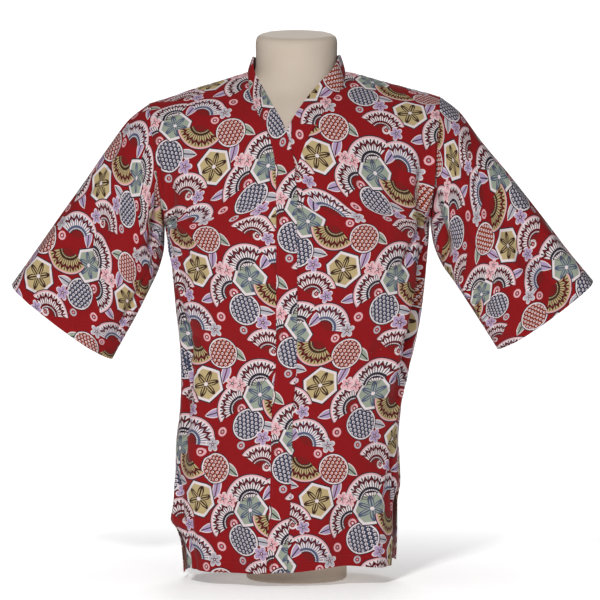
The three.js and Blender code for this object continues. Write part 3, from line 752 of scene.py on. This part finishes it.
def hem_wall(distance):
    """The cloth is doubled inward along a hem."""
    return mix(HEM_CLOTH, CLOTH, ease((distance - HEM_DOUBLE) / HEM_EDGE))


def pucker(along, distance, high=0.22):
    return high * np.sin(along / 3.1 + 1.4 * np.sin(along / 17)) * bell(distance, PUCKER_WIDE)


def stitched(along, distance):
    """A row of stitches draws the cloth in along its line, and it puckers on both sides."""
    return pucker(along, distance, 0.3) - 0.5 * bell(distance, 2.2)


def panel(name, v, s, out, from_hem, from_top, column, way):
    """A panel of the body, drawn in at its seams and its hem's stitches, and doubled at hem and vent."""
    place = smooth_body(v, s)
    x, z = place[..., 0], place[..., 2]
    from_side = (1 - np.abs(s)) * SIDE_WIDTH
    sewn = ease((z - vent_value(s, "top")) / 6)
    out = out + (seam_dip(from_side) + pucker(v, from_side)) * sewn
    out = out + seam_dip(from_top) + pucker(x, from_top) + stitched(x, from_hem - HEM_LINE)
    thick = np.maximum(hem_wall(from_hem), mix(hem_wall(from_side), CLOTH, sewn))
    uv = np.stack([row_lengths(place, column) * way, v], axis=-1)
    return wall(name, body_point(v, s, out), body_point(v, s, out - thick), uv)


def front(side):
    rows, sign = seam_rows(side), SIGN[side]
    seam_x = rows["x"][:, None]
    s = mix(s_at(rows["v"][:, None], seam_x - sign * UNDER_BAND), sign, spread(FRONT_COLUMNS)[None, :])
    v = mix(front_hem(s), V_RIDGE, rows["up"][:, None])
    place = smooth_body(v, s)
    from_band = (place[..., 0] - seam_x) * sign
    out = top_lift(side, place[..., 0], place[..., 2]) - BAND_TUCK * ease((2 - from_band) / 3)
    out = out + pucker(v, from_band)
    return panel(f"jacket_front_{side}", v, s, out, v - front_hem(s), V_RIDGE - v, -1, sign)


def back_top(s):
    ridge = smooth_body(np.full_like(s, V_RIDGE), s)
    x = ridge[..., 0]
    depth = np.sqrt(np.maximum(1 - (x / NECK_SEAM_X) ** 2, 0))
    wanted = mix(ridge[..., 1], NECK_BACK_Y, depth)
    start = np.full_like(s, V_RIDGE)
    v = solve(start, np.full_like(s, V_ARMPIT_BACK), lambda v: smooth_body(v, s)[..., 1] < wanted)
    return np.where(np.abs(x) >= NECK_SEAM_X, V_RIDGE, v)


def back():
    neck_s = abs(float(s_at(V_RIDGE, -NECK_SEAM_X)))
    outer_s = mix(-1, -neck_s, spread(BACK_SIDE_COLUMNS, 0.4))
    middle_s = -neck_s * np.cos(math.pi * np.linspace(0, 1, BACK_NECK_COLUMNS + 1)[1:])
    s_row = np.concatenate([outer_s, middle_s, -outer_s[-2::-1]])
    s = np.broadcast_to(s_row[None, :], (BODY_ROWS + 1, len(s_row)))
    top = back_top(s_row)[None, :]
    hem = V_BACK_ZERO - back_hem(s)
    v = mix(hem, top, row_heights(BODY_ROWS)[:, None])
    return panel("jacket_back", v, s, 0.0, hem - v, v - top, len(s_row) // 2, -1)


def sleeve_surface(rows):
    along_at = np.linspace(0, 1, len(rows["topX"]))
    ring = {name: through(along_at, column) for name, column in rows.items()}
    return lambda along, turn: ring_point({name: curve(along) for name, curve in ring.items()}, turn)


def sleeve_point(side, along, turn, out=0.0):
    """The sleeve's outer surface, and the direction out of it."""
    sign = SIGN[side]
    surface = sleeve_surface(SLEEVES[side])
    away = np.maximum(along, 0.01)
    about = surface(away, turn + 0.5) - surface(away, turn - 0.5)
    down = surface(np.minimum(away + 0.01, 1), turn) - surface(away - 0.01, turn)
    normal = unit(np.cross(about, down)) * sign
    a, b = along * ARM_LENGTH, np.radians(turn % 360) * ARM_RADIUS
    folds = folds_on(SLEEVE_FOLDS, flat_sleeve, a, b, False)
    creases = folds_on(SLEEVE_CREASES[side], flat_sleeve, a, b, True)
    depth = (folds + creases + 0.8 * ripple(b * 0.9 + 40 * sign, a)) * ease(along / 0.07) + out
    bow = CUFF_BOW * ease((along - 0.5) / 0.5) * np.abs(np.sin(np.radians(turn)))
    return surface(along, turn) + normal * depth[..., None] + unit(down) * bow[..., None], normal


def sleeve(side):
    turn, along = np.meshgrid(np.linspace(180, 540, SLEEVE_SIDES + 1), spread(SLEEVE_RINGS, 0.5))
    from_armhole = along * ARM_LENGTH
    from_cuff = (1 - along) * ARM_LENGTH - CUFF_DEEPER
    around = np.radians(turn) * ARM_RADIUS
    from_seam = np.minimum(turn - 180, 540 - turn) * 1.2
    out = seam_dip(from_armhole, 0.7) + seam_dip(from_seam, 0.7, 2.2) * ease(along / 0.05)
    out = out + pucker(around, from_armhole, 0.3) * ease(along / 0.03)
    out = out + stitched(around, from_cuff - HEM_LINE)
    outer, _ = sleeve_point(side, along, turn, out)
    inner, _ = sleeve_point(side, along, turn, out - hem_wall(from_cuff))
    middle = SLEEVE_SIDES // 2
    down = np.broadcast_to(-line_lengths(outer[:, middle])[:, None], turn.shape)
    uv = np.stack([row_lengths(outer, middle) * SIGN[side], down], axis=-1)
    return wall(f"jacket_sleeve_{side}", outer, inner, uv)


def band_point(side):
    """The neckband's outer surface, by the height of its seam and then the turn round the neck."""
    rows, laid, sign = seam_rows(side), BANDS[side], SIGN[side]
    shoulder = rows["neck_z"]
    v, s = on_front(laid["edgeX"], laid["edgeZ"])
    edge_y = np.where(np.isnan(laid["edgeY"]), smooth_body(v, s)[..., 1], laid["edgeY"])
    higher = NECK_LEFT_HIGHER if side == "left" else 0
    way_at = np.concatenate([laid["seamZ"], shoulder + BAND_BACK["turn"]])
    edge = [
        through(way_at, np.concatenate([laid["edgeX"], BAND_BACK["edgeX"] * -sign])),
        through(way_at, np.concatenate([edge_y, BAND_BACK["edgeY"]])),
        through(way_at, np.concatenate([laid["edgeZ"], BAND_BACK["edgeZ"] + higher])),
    ]

    def on_panel(x, z):
        v, s = on_front(x, z)
        return body_point(v, s, top_lift(side, x, z))

    def point(way, over):
        way, over = np.broadcast_arrays(way, over)
        turn = np.radians(np.maximum(way - shoulder, 0))
        around_x = sign * np.maximum(NECK_SEAM_X * np.cos(turn), 0.5)
        around_s = s_at(np.full_like(around_x, V_RIDGE), around_x)
        standing = body_point(back_top(around_s), around_s) + np.array([0, 0, 0.75])
        seam_x = rows["seam_x"](way)
        seam = np.where((way > shoulder)[..., None], standing, on_panel(seam_x, np.minimum(way, shoulder)))
        free = np.stack([curve(way) for curve in edge], axis=-1)
        straight = mix(seam, free, over[..., None])
        upright = ease((way - 700) / 50)
        flat = on_panel(mix(seam_x, free[..., 0], over), np.minimum(mix(way, free[..., 2], over), 795))
        return mix(flat, straight, upright[..., None])

    def normal(way, over):
        way, over = np.broadcast_arrays(way, over)
        end = shoulder + 90
        along = point(np.minimum(way + 1, end), over) - point(np.minimum(way, end) - 1, over)
        across = point(way, np.minimum(over + 0.05, 1)) - point(way, np.maximum(over - 0.05, 0))
        return unit(np.cross(across, along)) * -sign

    return point, normal, rows


def band(side):
    point, normal, rows = band_point(side)
    shoulder = rows["neck_z"]
    start = float(smooth_body(rows["v"][0], s_at(rows["v"][0], rows["x"][0]))[2])
    low = np.linspace(start, shoulder, BAND_ROWS)
    high = np.linspace(shoulder, shoulder + 90, BAND_NECK_ROWS + 1)[1:]
    way = np.concatenate([low, high])[:, None]
    over = spread(BAND_ACROSS, 0.5)[None, :]
    from_seam = BAND_WIDTH * over
    from_edge = BAND_WIDTH - from_seam
    out = seam_dip(from_seam, 0.7, 1.8) + seam_dip(from_edge, 0.6, 1.6)
    out = out - 0.35 * bell(from_seam - BAND_LINE, 1.2)
    out = out + pucker(way * 1.1, from_seam - BAND_LINE, 0.25)
    out = out + 0.35 * np.sin(way / 29) * np.sin(math.pi * over)
    thick = BAND_CLOTH - 1.1 * bell(from_edge, 2)
    base, out_of = point(way, over), normal(way, over)
    outer = base + out_of * out[..., None]
    inner = base + out_of * (out - thick)[..., None]
    length = np.broadcast_to(line_lengths(outer[:, BAND_ACROSS // 2])[:, None], outer.shape[:2])
    uv = np.stack([-row_lengths(outer, 0) * SIGN[side], length], axis=-1)
    return wall(f"jacket_band_{side}", outer, inner, uv)


def stitches(name, points, normals):
    """A row of short raised stitches along a line on the cloth."""
    along = line_lengths(points)
    count = int(along[-1] // (STITCH + STITCH_GAP))
    at = np.arange(count) * (STITCH + STITCH_GAP)

    def sample(values, where):
        return np.stack([np.interp(where, along, values[:, axis]) for axis in range(3)], axis=-1)

    first, last = sample(points, at), sample(points, at + STITCH)
    up = unit(sample(normals, at + STITCH / 2))
    side = unit(np.cross(last - first, up))
    vertices, faces = [], []
    for i in range(count):
        base = len(vertices)
        ring_ways = [side[i], up[i], -side[i], -up[i]]
        middle = (first[i] + last[i]) / 2 + up[i] * THREAD_ARCH
        vertices.append(first[i] - up[i] * THREAD_SUNK)
        for end in (first[i], last[i]):
            vertices += [mix(end, middle, 0.5) + way * THREAD_RADIUS for way in ring_ways]
        vertices.append(last[i] - up[i] * THREAD_SUNK)
        for k in range(4):
            n = (k + 1) % 4
            faces.append((base, base + 1 + n, base + 1 + k))
            faces.append((base + 1 + k, base + 1 + n, base + 5 + n, base + 5 + k))
            faces.append((base + 5 + k, base + 5 + n, base + 9))
    mesh = to_mesh(name, vertices, faces)
    mesh.shade_smooth()
    return add_object(name, mesh)


def body_line(v, s, lift=0.0):
    return body_point(v, s, lift + 0.05), body_normal(v, s)


def vent_line(side, low, count, place):
    """The stitches beside a vent, from a height up to just over its top. The function place gives v."""
    v = place(np.linspace(low, VENTS[side]["top"] + 4, count))
    return body_line(v, np.full_like(v, SIGN[side] * VENT_STITCH_S))


def front_stitches(side):
    rows, sign = seam_rows(side), SIGN[side]
    s = np.linspace(float(s_at(60.0, rows["x"][8])) + sign * 0.01, sign * VENT_STITCH_S, 260)
    v = front_hem(s) + STITCH_ROW
    place = smooth_body(v, s)
    hem_line = body_line(v, s, top_lift(side, place[..., 0], place[..., 2]))
    lines = [hem_line, vent_line(side, v[-1], 160, lambda z: z)]
    return [stitches(f"stitch_front_{side}_{i}", *line) for i, line in enumerate(lines)]


def back_stitches():
    s = np.linspace(-VENT_STITCH_S, VENT_STITCH_S, 700)
    heights = back_hem(s) + STITCH_ROW
    lines = [body_line(V_BACK_ZERO - heights, s)]
    for side, low in (("right", heights[0]), ("left", heights[-1])):
        lines.append(vent_line(side, low, 200, lambda z: V_BACK_ZERO - z))
    return [stitches(f"stitch_back_{i}", *line) for i, line in enumerate(lines)]


def sleeve_stitches(side):
    turn = np.linspace(182, 538, 500)
    along = np.full_like(turn, 1 - (HEM_LINE + CUFF_DEEPER) / ARM_LENGTH)
    return [stitches(f"stitch_sleeve_{side}", *sleeve_point(side, along, turn, -0.4))]


def band_stitches(side):
    point, normal, rows = band_point(side)
    way = np.linspace(32, rows["neck_z"] + 88, 900)
    over = np.full_like(way, BAND_LINE / BAND_WIDTH)
    out_of = normal(way, over)
    return [stitches(f"stitch_band_{side}", point(way, over) - out_of * 0.25, out_of)]


def ring_shell(rings, cap_low, cap_high):
    """The vertices and faces of a closed form from rings of points, with a point that closes each end."""
    rings = np.array(rings)
    count, sides = rings.shape[:2]
    vertices = np.concatenate([rings.reshape(-1, 3), [cap_low], [cap_high]])
    low, high = count * sides, count * sides + 1
    faces = []
    for j in range(count - 1):
        for i in range(sides):
            n = (i + 1) % sides
            faces.append((j * sides + i, j * sides + n, (j + 1) * sides + n, (j + 1) * sides + i))
    for i in range(sides):
        n = (i + 1) % sides
        faces.append((low, n, i))
        faces.append((high, (count - 1) * sides + i, (count - 1) * sides + n))
    return vertices, faces


def circle(sides):
    return np.linspace(0, 2 * math.pi, sides + 1)[:-1]


def form_torso():
    """The torso: its own lower part, and from the chest up the jacket's surface drawn in."""
    half = curves(FORM, "z", "half front back")
    room = through(180 - YOKE["turn"], YOKE["room"])
    s = np.linspace(-1, 1, 91)

    def row(up, reach, armpit, early):
        low = mix(FORM_UNDERSIDE_Z, CHEST_Z, up)
        deep = reach(low) * np.maximum(np.cos(s * math.pi / 2), 0) ** FORM_ROUNDNESS
        lower = np.stack([half["half"](low) * np.sin(s * math.pi / 2), deep, np.full_like(s, low)], axis=-1)
        above = max(up - CHEST_START, 0) / (1 - CHEST_START)
        level = mix(armpit + early, armpit, above) if up < 1 else mix(armpit, V_RIDGE, up - 1)
        v = np.full_like(s, level)
        top_s = s * FORM_TOP_S
        inward = room(np.maximum(up - 1, 0) * 180)
        upper = smooth_body(v, top_s) - body_normal(v, top_s) * inward
        return mix(lower, upper, ease(above))

    rings = []
    for up in np.concatenate([np.linspace(0, 1, FORM_LEVELS), 1 + row_heights(FORM_LEVELS)[1:]]):
        front_row = row(up, lambda z: -half["front"](z), V_ARMPIT_FRONT, -CHEST_BLEND)
        back_row = row(up, half["back"], V_ARMPIT_BACK, CHEST_BLEND)
        rings.append([front_row, back_row])
    ridge = (rings[-1][0] + rings[-1][1]) / 2
    rings[-1] = [ridge, ridge]
    rings = [np.concatenate([front_row, back_row[::-1]]) for front_row, back_row in rings]
    return ring_shell(rings, (0, 0, FORM_UNDERSIDE_Z), ridge.mean(axis=0))


def form_neck():
    neck = curves(FORM_NECK, "z", "half front back slope")
    turn = circle(128)
    rings = []
    for level in np.concatenate([np.linspace(NECK_LOW, 830, 30), np.linspace(832, NECK_TOP, 14)]):
        reach = np.where(np.sin(turn) < 0, neck["front"](level), neck["back"](level))
        y = np.sin(turn) * reach
        height = level + y * NECK_SLOPE * neck["slope"](level)
        rings.append(np.stack([neck["half"](level) * np.cos(turn), y, height], axis=-1))
    return ring_shell(rings, (0, 0, NECK_LOW), (0, 0, NECK_TOP))


def form_foot():
    turn = circle(96)
    rings = []
    for radius, z in FOOT_PROFILE:
        rings.append(np.stack([radius * np.cos(turn), radius * np.sin(turn), np.full_like(turn, z)], axis=-1))
    return ring_shell(rings, (0, 0, 0), (0, 0, FOOT_HEIGHT))


def relax(points, edges, weight, rounds):
    """Points drawn towards the middle of their neighbours, each by its own weight."""
    first, second = edges[:, 0], edges[:, 1]
    neighbours = np.bincount(edges.ravel(), minlength=len(points))[:, None]
    for _ in range(rounds):
        total = np.zeros_like(points)
        np.add.at(total, first, points[second])
        np.add.at(total, second, points[first])
        points = points + (total / neighbours - points) * weight[:, None] * 0.5
    return points


def dress_form():
    """The torso, neck and foot as one skin, with a soft bend where the neck leaves the chest."""
    vertices, faces = [], []
    for part_vertices, part_faces in (form_torso(), form_neck(), form_foot()):
        base = len(vertices)
        vertices += list(part_vertices)
        faces += [tuple(base + corner for corner in face) for face in part_faces]
    mesh = to_mesh("form_parts", vertices, faces)
    face_outward(mesh, join=True)
    rough = add_object("form_parts", mesh)
    skin = rough.modifiers.new("skin", "REMESH")
    skin.mode = "VOXEL"
    skin.voxel_size = FORM_VOXEL * MM
    skinned = bpy.data.meshes.new_from_object(rough.evaluated_get(bpy.context.evaluated_depsgraph_get()))
    bpy.data.objects.remove(rough)
    points = np.zeros(len(skinned.vertices) * 3)
    skinned.vertices.foreach_get("co", points)
    points = points.reshape(-1, 3) / MM
    edges = np.zeros(len(skinned.edges) * 2, dtype=np.int64)
    skinned.edges.foreach_get("vertices", edges)
    edges = edges.reshape(-1, 2)
    above_foot = ease((points[:, 2] - 6) / 20)
    points = relax(points, edges, above_foot, 6)
    y, z = points[:, 1], points[:, 2]
    bend = ease((z - 705) / 25) * ease((800 - z) / 25) * ease((-y - 15) / 25)
    points = relax(points, edges, bend, 90)
    skinned.vertices.foreach_set("co", (points * MM).ravel())
    smooth_shaded(skinned, 60)
    return add_object("form_torso", skinned)


def feed(tree, socket, value):
    """Links an input to an output, or sets it to a number or colour."""
    if isinstance(value, Number):
        value = value.socket
    if isinstance(value, bpy.types.NodeSocket):
        tree.links.new(value, socket)
    else:
        socket.default_value = value


def add_node(tree, kind, inputs):
    node = tree.nodes.new("ShaderNode" + kind)
    for name, value in inputs.items():
        feed(tree, node.inputs[name], value)
    return node


def calculate(tree, operation, *values):
    node = add_node(tree, "Math", dict(enumerate(values)))
    node.operation = operation
    return Number(tree, node.outputs[0])


def blend(tree, factor, first, second):
    """A colour between two others, or the second one where a mask is 1."""
    node = tree.nodes.new("ShaderNodeMix")
    node.data_type = "RGBA"
    for name, value in (("Factor", factor), (6, first), (7, second)):
        feed(tree, node.inputs[name], value)
    return node.outputs[2]


def operator(operation):
    def method(self, *others):
        return calculate(self.tree, operation, self, *others)

    return method


class Number:
    """A number in a material's node tree, with the usual arithmetic."""

    def __init__(self, tree, socket):
        self.tree = tree
        self.socket = socket

    __add__ = operator("ADD")
    __sub__ = operator("SUBTRACT")
    __mul__ = __and__ = operator("MULTIPLY")
    __truediv__ = operator("DIVIDE")
    __lt__ = operator("LESS_THAN")
    __gt__ = operator("GREATER_THAN")
    __or__ = operator("MAXIMUM")
    __abs__ = operator("ABSOLUTE")


def wrapped(number, limit):
    """A number brought back into the range from minus limit to limit."""
    return calculate(number.tree, "WRAP", number, limit, -limit)


def reach_of(x, y):
    """How far a place is from the middle."""
    return calculate(x.tree, "SQRT", x * x + y * y)


def angle(rise, run):
    return calculate(rise.tree, "ARCTAN2", rise, run)


def tint(red, green, blue):
    """A colour of the screen, 0 to 255, as the light it stands for."""
    def light(value):
        value /= 255
        return value / 12.92 if value <= 0.04045 else ((value + 0.055) / 1.055) ** 2.4

    return (light(red), light(green), light(blue), 1)


CRIMSON = tint(136, 17, 22)
CREAM = tint(220, 208, 210)
PINK = tint(218, 166, 172)
INK = tint(40, 36, 46)
WINE = tint(88, 16, 26)
TAN = tint(182, 162, 118)
BROWN = tint(58, 36, 28)
SLATE = tint(78, 86, 112)
ORANGE = tint(168, 76, 46)
GREEN = tint(148, 156, 140)
LILAC = tint(170, 148, 182)
GREY = tint(176, 172, 180)
REVERSE = tint(196, 140, 140)
THREAD_TINTS = (tint(120, 18, 26), tint(160, 34, 42))
FORM_TINTS = (tint(194, 178, 161), tint(208, 194, 179))

# The print's repeat, in millimetres: each column of it starts half a repeat higher than the one before
REPEAT_WIDTH = 148
REPEAT_HEIGHT = 176


def fan(x, y, size, paper, ink):
    """A folding fan of pleated paper on thin ribs, open upward."""
    r = reach_of(x, y) / size
    turn = angle(x, y)
    open_part = abs(turn) < 1.12
    folded = open_part & (r > 0.36) & (r < 1)
    pleat = abs(wrapped(turn, 0.08)) < 0.028
    scallop = abs(wrapped(turn, 0.16)) * 1.1
    ribs = open_part & (r < 0.36) & (r > 0.06) & (abs(wrapped(turn, 0.16)) < 0.045)
    return [
        (ribs, BROWN),
        (open_part & (r > 0.32) & (r < 1.04), INK),
        (folded, paper),
        (folded & pleat & (r < 0.9), ink),
        (folded & (abs(r - 0.66 - scallop) < 0.06), WINE),
        (folded & (abs(r - 0.45) < 0.045), ink),
        (folded & (r > 0.94), PINK),
    ]


def hexagon(x, y, size, fill, line):
    """A tortoiseshell hexagon with a hemp-leaf star in it."""
    ax, ay = abs(x), abs(y)
    edge = (ax | (ax * 0.5 + ay * 0.866)) / size
    r = reach_of(x, y) / size
    spoke = abs(wrapped(angle(y, x), math.pi / 6))
    star = abs(spoke * 0.62 + r * 0.5 - 0.42) < 0.045
    return [
        (edge < 1.07, INK),
        (edge < 1, CREAM),
        (edge < 0.84, fill),
        ((edge < 0.84) & (spoke * r < 0.045), line),
        ((edge < 0.8) & star, line),
        (r < 0.12, CREAM),
    ]


def waves(x, y, size, fill, line):
    """A round patch of overlapping wave scales."""
    r = reach_of(x, y) / size
    step = size * 0.26
    layers = [(r < 1.06, INK), (r < 1, CREAM), (r < 0.92, fill)]
    for k in (1, 0):
        row = wrapped(y + k * step / 2, step / 2)
        across = wrapped(x + k * step, step)
        scale = reach_of(across, row) / step
        inside = (r < 0.92) & (row > -step * 0.02)
        for limit, paint in ((0.95, CREAM), (0.8, fill), (0.56, line), (0.24, CREAM)):
            layers.append((inside & (scale < limit), paint))
    return layers


def blossom(x, y, size, petal, heart):
    """A five-petalled blossom."""
    r = reach_of(x, y) / size
    turn = angle(y, x)
    round_petal = calculate(x.tree, "COSINE", wrapped(turn, math.pi / 5) * 2.1)
    edge = r / (round_petal * 0.62 + 0.38)
    return [
        (edge < 1, CREAM),
        (edge < 0.86, petal),
        ((r < 0.5) & (abs(wrapped(turn, math.pi / 5)) < 0.1), heart),
        (r < 0.2, heart),
        (r < 0.09, CREAM),
    ]


def leaf(x, y, size, fill, line):
    """A pointed leaf with a midrib."""
    along = x / size
    edge = abs(y) / size / 0.42 + along * along
    return [
        (edge < 1, CREAM),
        (edge < 0.8, fill),
        ((edge < 0.8) & (abs(y) < size * 0.05), line),
    ]


def ring(x, y, size, fill, line):
    """A small ring with a dot in it."""
    r = reach_of(x, y) / size
    return [(r < 1, fill), (r < 0.55, CRIMSON), (r < 0.24, line)]


# Where each motif lies in the repeat: its middle, its turn in degrees and its size
MOTIFS = [
    (ring, 12, 8, 0, 7, PINK, CREAM),
    (ring, 62, 96, 0, 6.5, CREAM, PINK),
    (ring, 134, 60, 0, 7, PINK, GREY),
    (ring, 92, 170, 0, 6.5, CREAM, PINK),
    (ring, 20, 128, 0, 6, GREY, PINK),
    (ring, 104, 28, 0, 6.5, PINK, CREAM),
    (leaf, 70, 60, 52, 19, LILAC, INK),
    (leaf, 4, 92, -38, 18, GREEN, INK),
    (leaf, 132, 150, 74, 18, LILAC, WINE),
    (leaf, 56, 158, -12, 17, GREY, INK),
    (leaf, 118, 88, 18, 17, LILAC, INK),
    (waves, 26, 160, 12, 24, SLATE, INK),
    (hexagon, 100, 132, 14, 25, TAN, BROWN),
    (hexagon, 40, 30, -22, 24, GREEN, SLATE),
    (waves, 128, 4, -30, 23, ORANGE, WINE),
    (fan, 30, 66, 24, 42, CREAM, INK),
    (fan, 96, 62, -34, 40, CREAM, SLATE),
    (fan, 74, 2, 158, 39, TAN, BROWN),
    (fan, 138, 108, 62, 38, CREAM, INK),
    (fan, 58, 116, -8, 38, CREAM, WINE),
    (blossom, 6, 44, 10, 12, PINK, WINE),
    (blossom, 78, 92, 40, 11, LILAC, INK),
    (blossom, 120, 40, 24, 12, GREY, WINE),
    (blossom, 52, 140, 66, 12.5, LILAC, WINE),
    (blossom, 142, 134, 0, 11, PINK, INK),
]


def print_place(tree):
    """The two print coordinates, in metres of cloth."""
    place = tree.nodes.new("ShaderNodeUVMap")
    place.uv_map = "print"
    split = add_node(tree, "SeparateXYZ", {0: place.outputs["UV"]})
    return Number(tree, split.outputs["X"]), Number(tree, split.outputs["Y"])


def print_colour(tree):
    """The print over the cloth: each motif's layers, painted over what lies below."""
    place_x, place_y = print_place(tree)
    across = place_x / (REPEAT_WIDTH * MM)
    up = place_y / (REPEAT_HEIGHT * MM) - across / 2
    colour = CRIMSON
    for shape, centre_x, centre_y, degrees, size, first, second in MOTIFS:
        centre = centre_x / REPEAT_WIDTH
        a = wrapped(across - centre, 0.5)
        b = wrapped(up - (centre_y / REPEAT_HEIGHT - centre / 2), 0.5)
        dx = a * REPEAT_WIDTH
        dy = b * REPEAT_HEIGHT + a * (REPEAT_HEIGHT / 2)
        cos, sin = math.cos(math.radians(degrees)), math.sin(math.radians(degrees))
        x = dx * cos + dy * sin
        y = dy * cos - dx * sin
        if shape is fan:
            y = y + size * 0.62
        for mask, paint in shape(x, y, size, first, second):
            colour = blend(tree, mask, colour, paint)
    return colour


THREAD_PITCH = 0.7


def new_material(name, roughness):
    material = bpy.data.materials.new(name)
    material.use_nodes = True
    tree = material.node_tree
    shader = tree.nodes["Principled BSDF"]
    shader.inputs["Roughness"].default_value = roughness
    return material, tree, shader


def noise(tree, scale, **inputs):
    """Noise fixed to the object, which is the same in every view."""
    spot = tree.nodes.new("ShaderNodeTexCoord").outputs["Object"]
    return add_node(tree, "TexNoise", {"Vector": spot, "Scale": scale, **inputs}).outputs[0]


def bump(tree, height, strength, deep, **inputs):
    values = {"Height": height, "Strength": strength, "Distance": deep, **inputs}
    return add_node(tree, "Bump", values).outputs[0]


def cloth_material():
    """The printed cloth, with soft crumples and a plain weave in its relief."""
    material, tree, shader = new_material("cloth", 0.88)
    shader.inputs["Specular IOR Level"].default_value = 0.16
    shader.inputs["Sheen Weight"].default_value = 0.05
    shader.inputs["Sheen Roughness"].default_value = 0.5
    turn = 2 * math.pi / (THREAD_PITCH * MM)
    warp, weft = [calculate(tree, "SINE", place * turn) for place in print_place(tree)]
    crumples = bump(tree, noise(tree, 26, Detail=3, Distortion=0.6), 0.55, 0.006)
    feed(tree, shader.inputs["Base Color"], print_colour(tree))
    feed(tree, shader.inputs["Normal"], bump(tree, warp * weft, 0.3, 0.0001, Normal=crumples))
    return material


def inside_material(outside):
    """The cloth's reverse, where the print shows through paler."""
    material = outside.copy()
    material.name = "cloth_inside"
    tree = material.node_tree
    base = tree.nodes["Principled BSDF"].inputs["Base Color"]
    feed(tree, base, blend(tree, 0.5, base.links[0].from_socket, REVERSE))
    return material


def thread_material():
    material, tree, shader = new_material("thread", 0.6)
    feed(tree, shader.inputs["Base Color"], blend(tree, noise(tree, 900), *THREAD_TINTS))
    return material


def form_material():
    """Matte beige, a little mottled, with fine grain."""
    material, tree, shader = new_material("form", 0.72)
    feed(tree, shader.inputs["Base Color"], blend(tree, noise(tree, 18, Detail=4), *FORM_TINTS))
    feed(tree, shader.inputs["Normal"], bump(tree, noise(tree, 900), 0.25, 0.0003))
    return material


def floor_material():
    """Pale, and brighter towards its rim, where it meets the bright studio."""
    material, tree, shader = new_material("floor", 0.9)
    shader.inputs["Base Color"].default_value = (0.93, 0.93, 0.93, 1)
    shader.inputs["Emission Color"].default_value = (1, 1, 1, 1)
    spot = tree.nodes.new("ShaderNodeTexCoord").outputs["Object"]
    away = add_node(tree, "VectorMath", {0: spot})
    away.operation = "LENGTH"
    glow = Number(tree, away.outputs["Value"]) * (FLOOR_RIM_GLOW / FLOOR_RADIUS) + FLOOR_GLOW
    feed(tree, shader.inputs["Emission Strength"], glow)
    return material


def floor():
    """A round pale floor, which fades into the bright studio."""
    mesh = bpy.data.meshes.new("floor")
    rim = [(FLOOR_RADIUS * math.cos(t), FLOOR_RADIUS * math.sin(t), 0) for t in circle(96)]
    mesh.from_pydata(rim, [], [tuple(range(len(rim)))])
    mesh.materials.append(floor_material())
    add_object("floor", mesh)


# Each light's name, place, the height that it aims at, its size and its watts
LIGHTS = (
    ("key", (-0.7, -3.0, 2.5), 0.45, 0.4, 84),
    ("fill", (0.9, -3.2, 1.2), 0.4, 0.4, 10),
    ("back", (0.2, 3.6, 2.4), 0.45, 1.6, 55),
)


def add_light(name, place, aim_z, size, watts):
    light = bpy.data.lights.new(name, "AREA")
    light.size = size
    light.energy = watts
    holder = add_object(name, light)
    holder.location = place
    holder.rotation_euler = (Vector((0, 0, aim_z)) - Vector(place)).to_track_quat("-Z", "Y").to_euler()


def lights():
    """A studio that is bright behind, with a key light on the left, a weak fill and a soft back light."""
    world = bpy.data.worlds.new("studio")
    bpy.context.scene.world = world
    world.use_nodes = True
    tree = world.node_tree
    way = tree.nodes.new("ShaderNodeTexCoord").outputs["Generated"]
    ahead = Number(tree, add_node(tree, "SeparateXYZ", {0: way}).outputs["Y"])
    narrow = calculate(tree, "POWER", ahead * ahead, 12)
    reach = (ahead > 0) * (STUDIO_BEHIND - STUDIO_FRONT) + STUDIO_FRONT
    backdrop = tree.nodes["Background"].inputs
    feed(tree, backdrop["Strength"], narrow * reach + STUDIO_SIDES)
    backdrop["Color"].default_value = (1, 1, 1, 1)
    for light in LIGHTS:
        add_light(*light)


def camera():
    data = bpy.data.cameras.new("camera")
    data.sensor_width = SENSOR
    data.lens = SENSOR * CAMERA_DISTANCE / FRAME_WIDTH
    tilt = math.radians(CAMERA_ELEVATION)
    away = Vector((0, -math.cos(tilt), math.sin(tilt)))
    holder = add_object("camera", data)
    holder.location = Vector(CAMERA_AIM) + away * CAMERA_DISTANCE
    holder.rotation_euler = (-away).to_track_quat("-Z", "Y").to_euler()
    bpy.context.scene.camera = holder
    bpy.context.scene.view_settings.view_transform = "Standard"


def wear(piece, materials, node=None):
    for material in materials:
        piece.data.materials.append(material)
    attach(piece, "root")
    if node:
        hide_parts(node)
    return piece


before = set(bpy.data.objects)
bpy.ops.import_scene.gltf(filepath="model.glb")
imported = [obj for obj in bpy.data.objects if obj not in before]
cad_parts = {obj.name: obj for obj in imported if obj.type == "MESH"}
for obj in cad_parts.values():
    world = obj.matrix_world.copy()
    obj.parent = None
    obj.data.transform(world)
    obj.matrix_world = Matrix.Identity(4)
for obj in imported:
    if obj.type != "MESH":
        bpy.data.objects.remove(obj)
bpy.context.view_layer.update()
camera()
lights()
floor()

wear(dress_form(), [form_material()], "dress_form")

cloth = cloth_material()
printed = [cloth, inside_material(cloth)]
thread = [thread_material()]
back_piece = wear(back(), printed, "back")
fronts = {side: wear(front(side), printed, f"front_{side}") for side in SIDES}
sleeves = {side: wear(sleeve(side), printed, f"sleeve_{side}") for side in SIDES}
bands = {side: wear(band(side), printed, f"band_{side}") for side in SIDES}
sewn_lines = back_stitches()
for side in SIDES:
    sewn_lines += front_stitches(side) + sleeve_stitches(side) + band_stitches(side)
for piece in sewn_lines:
    wear(piece, thread)
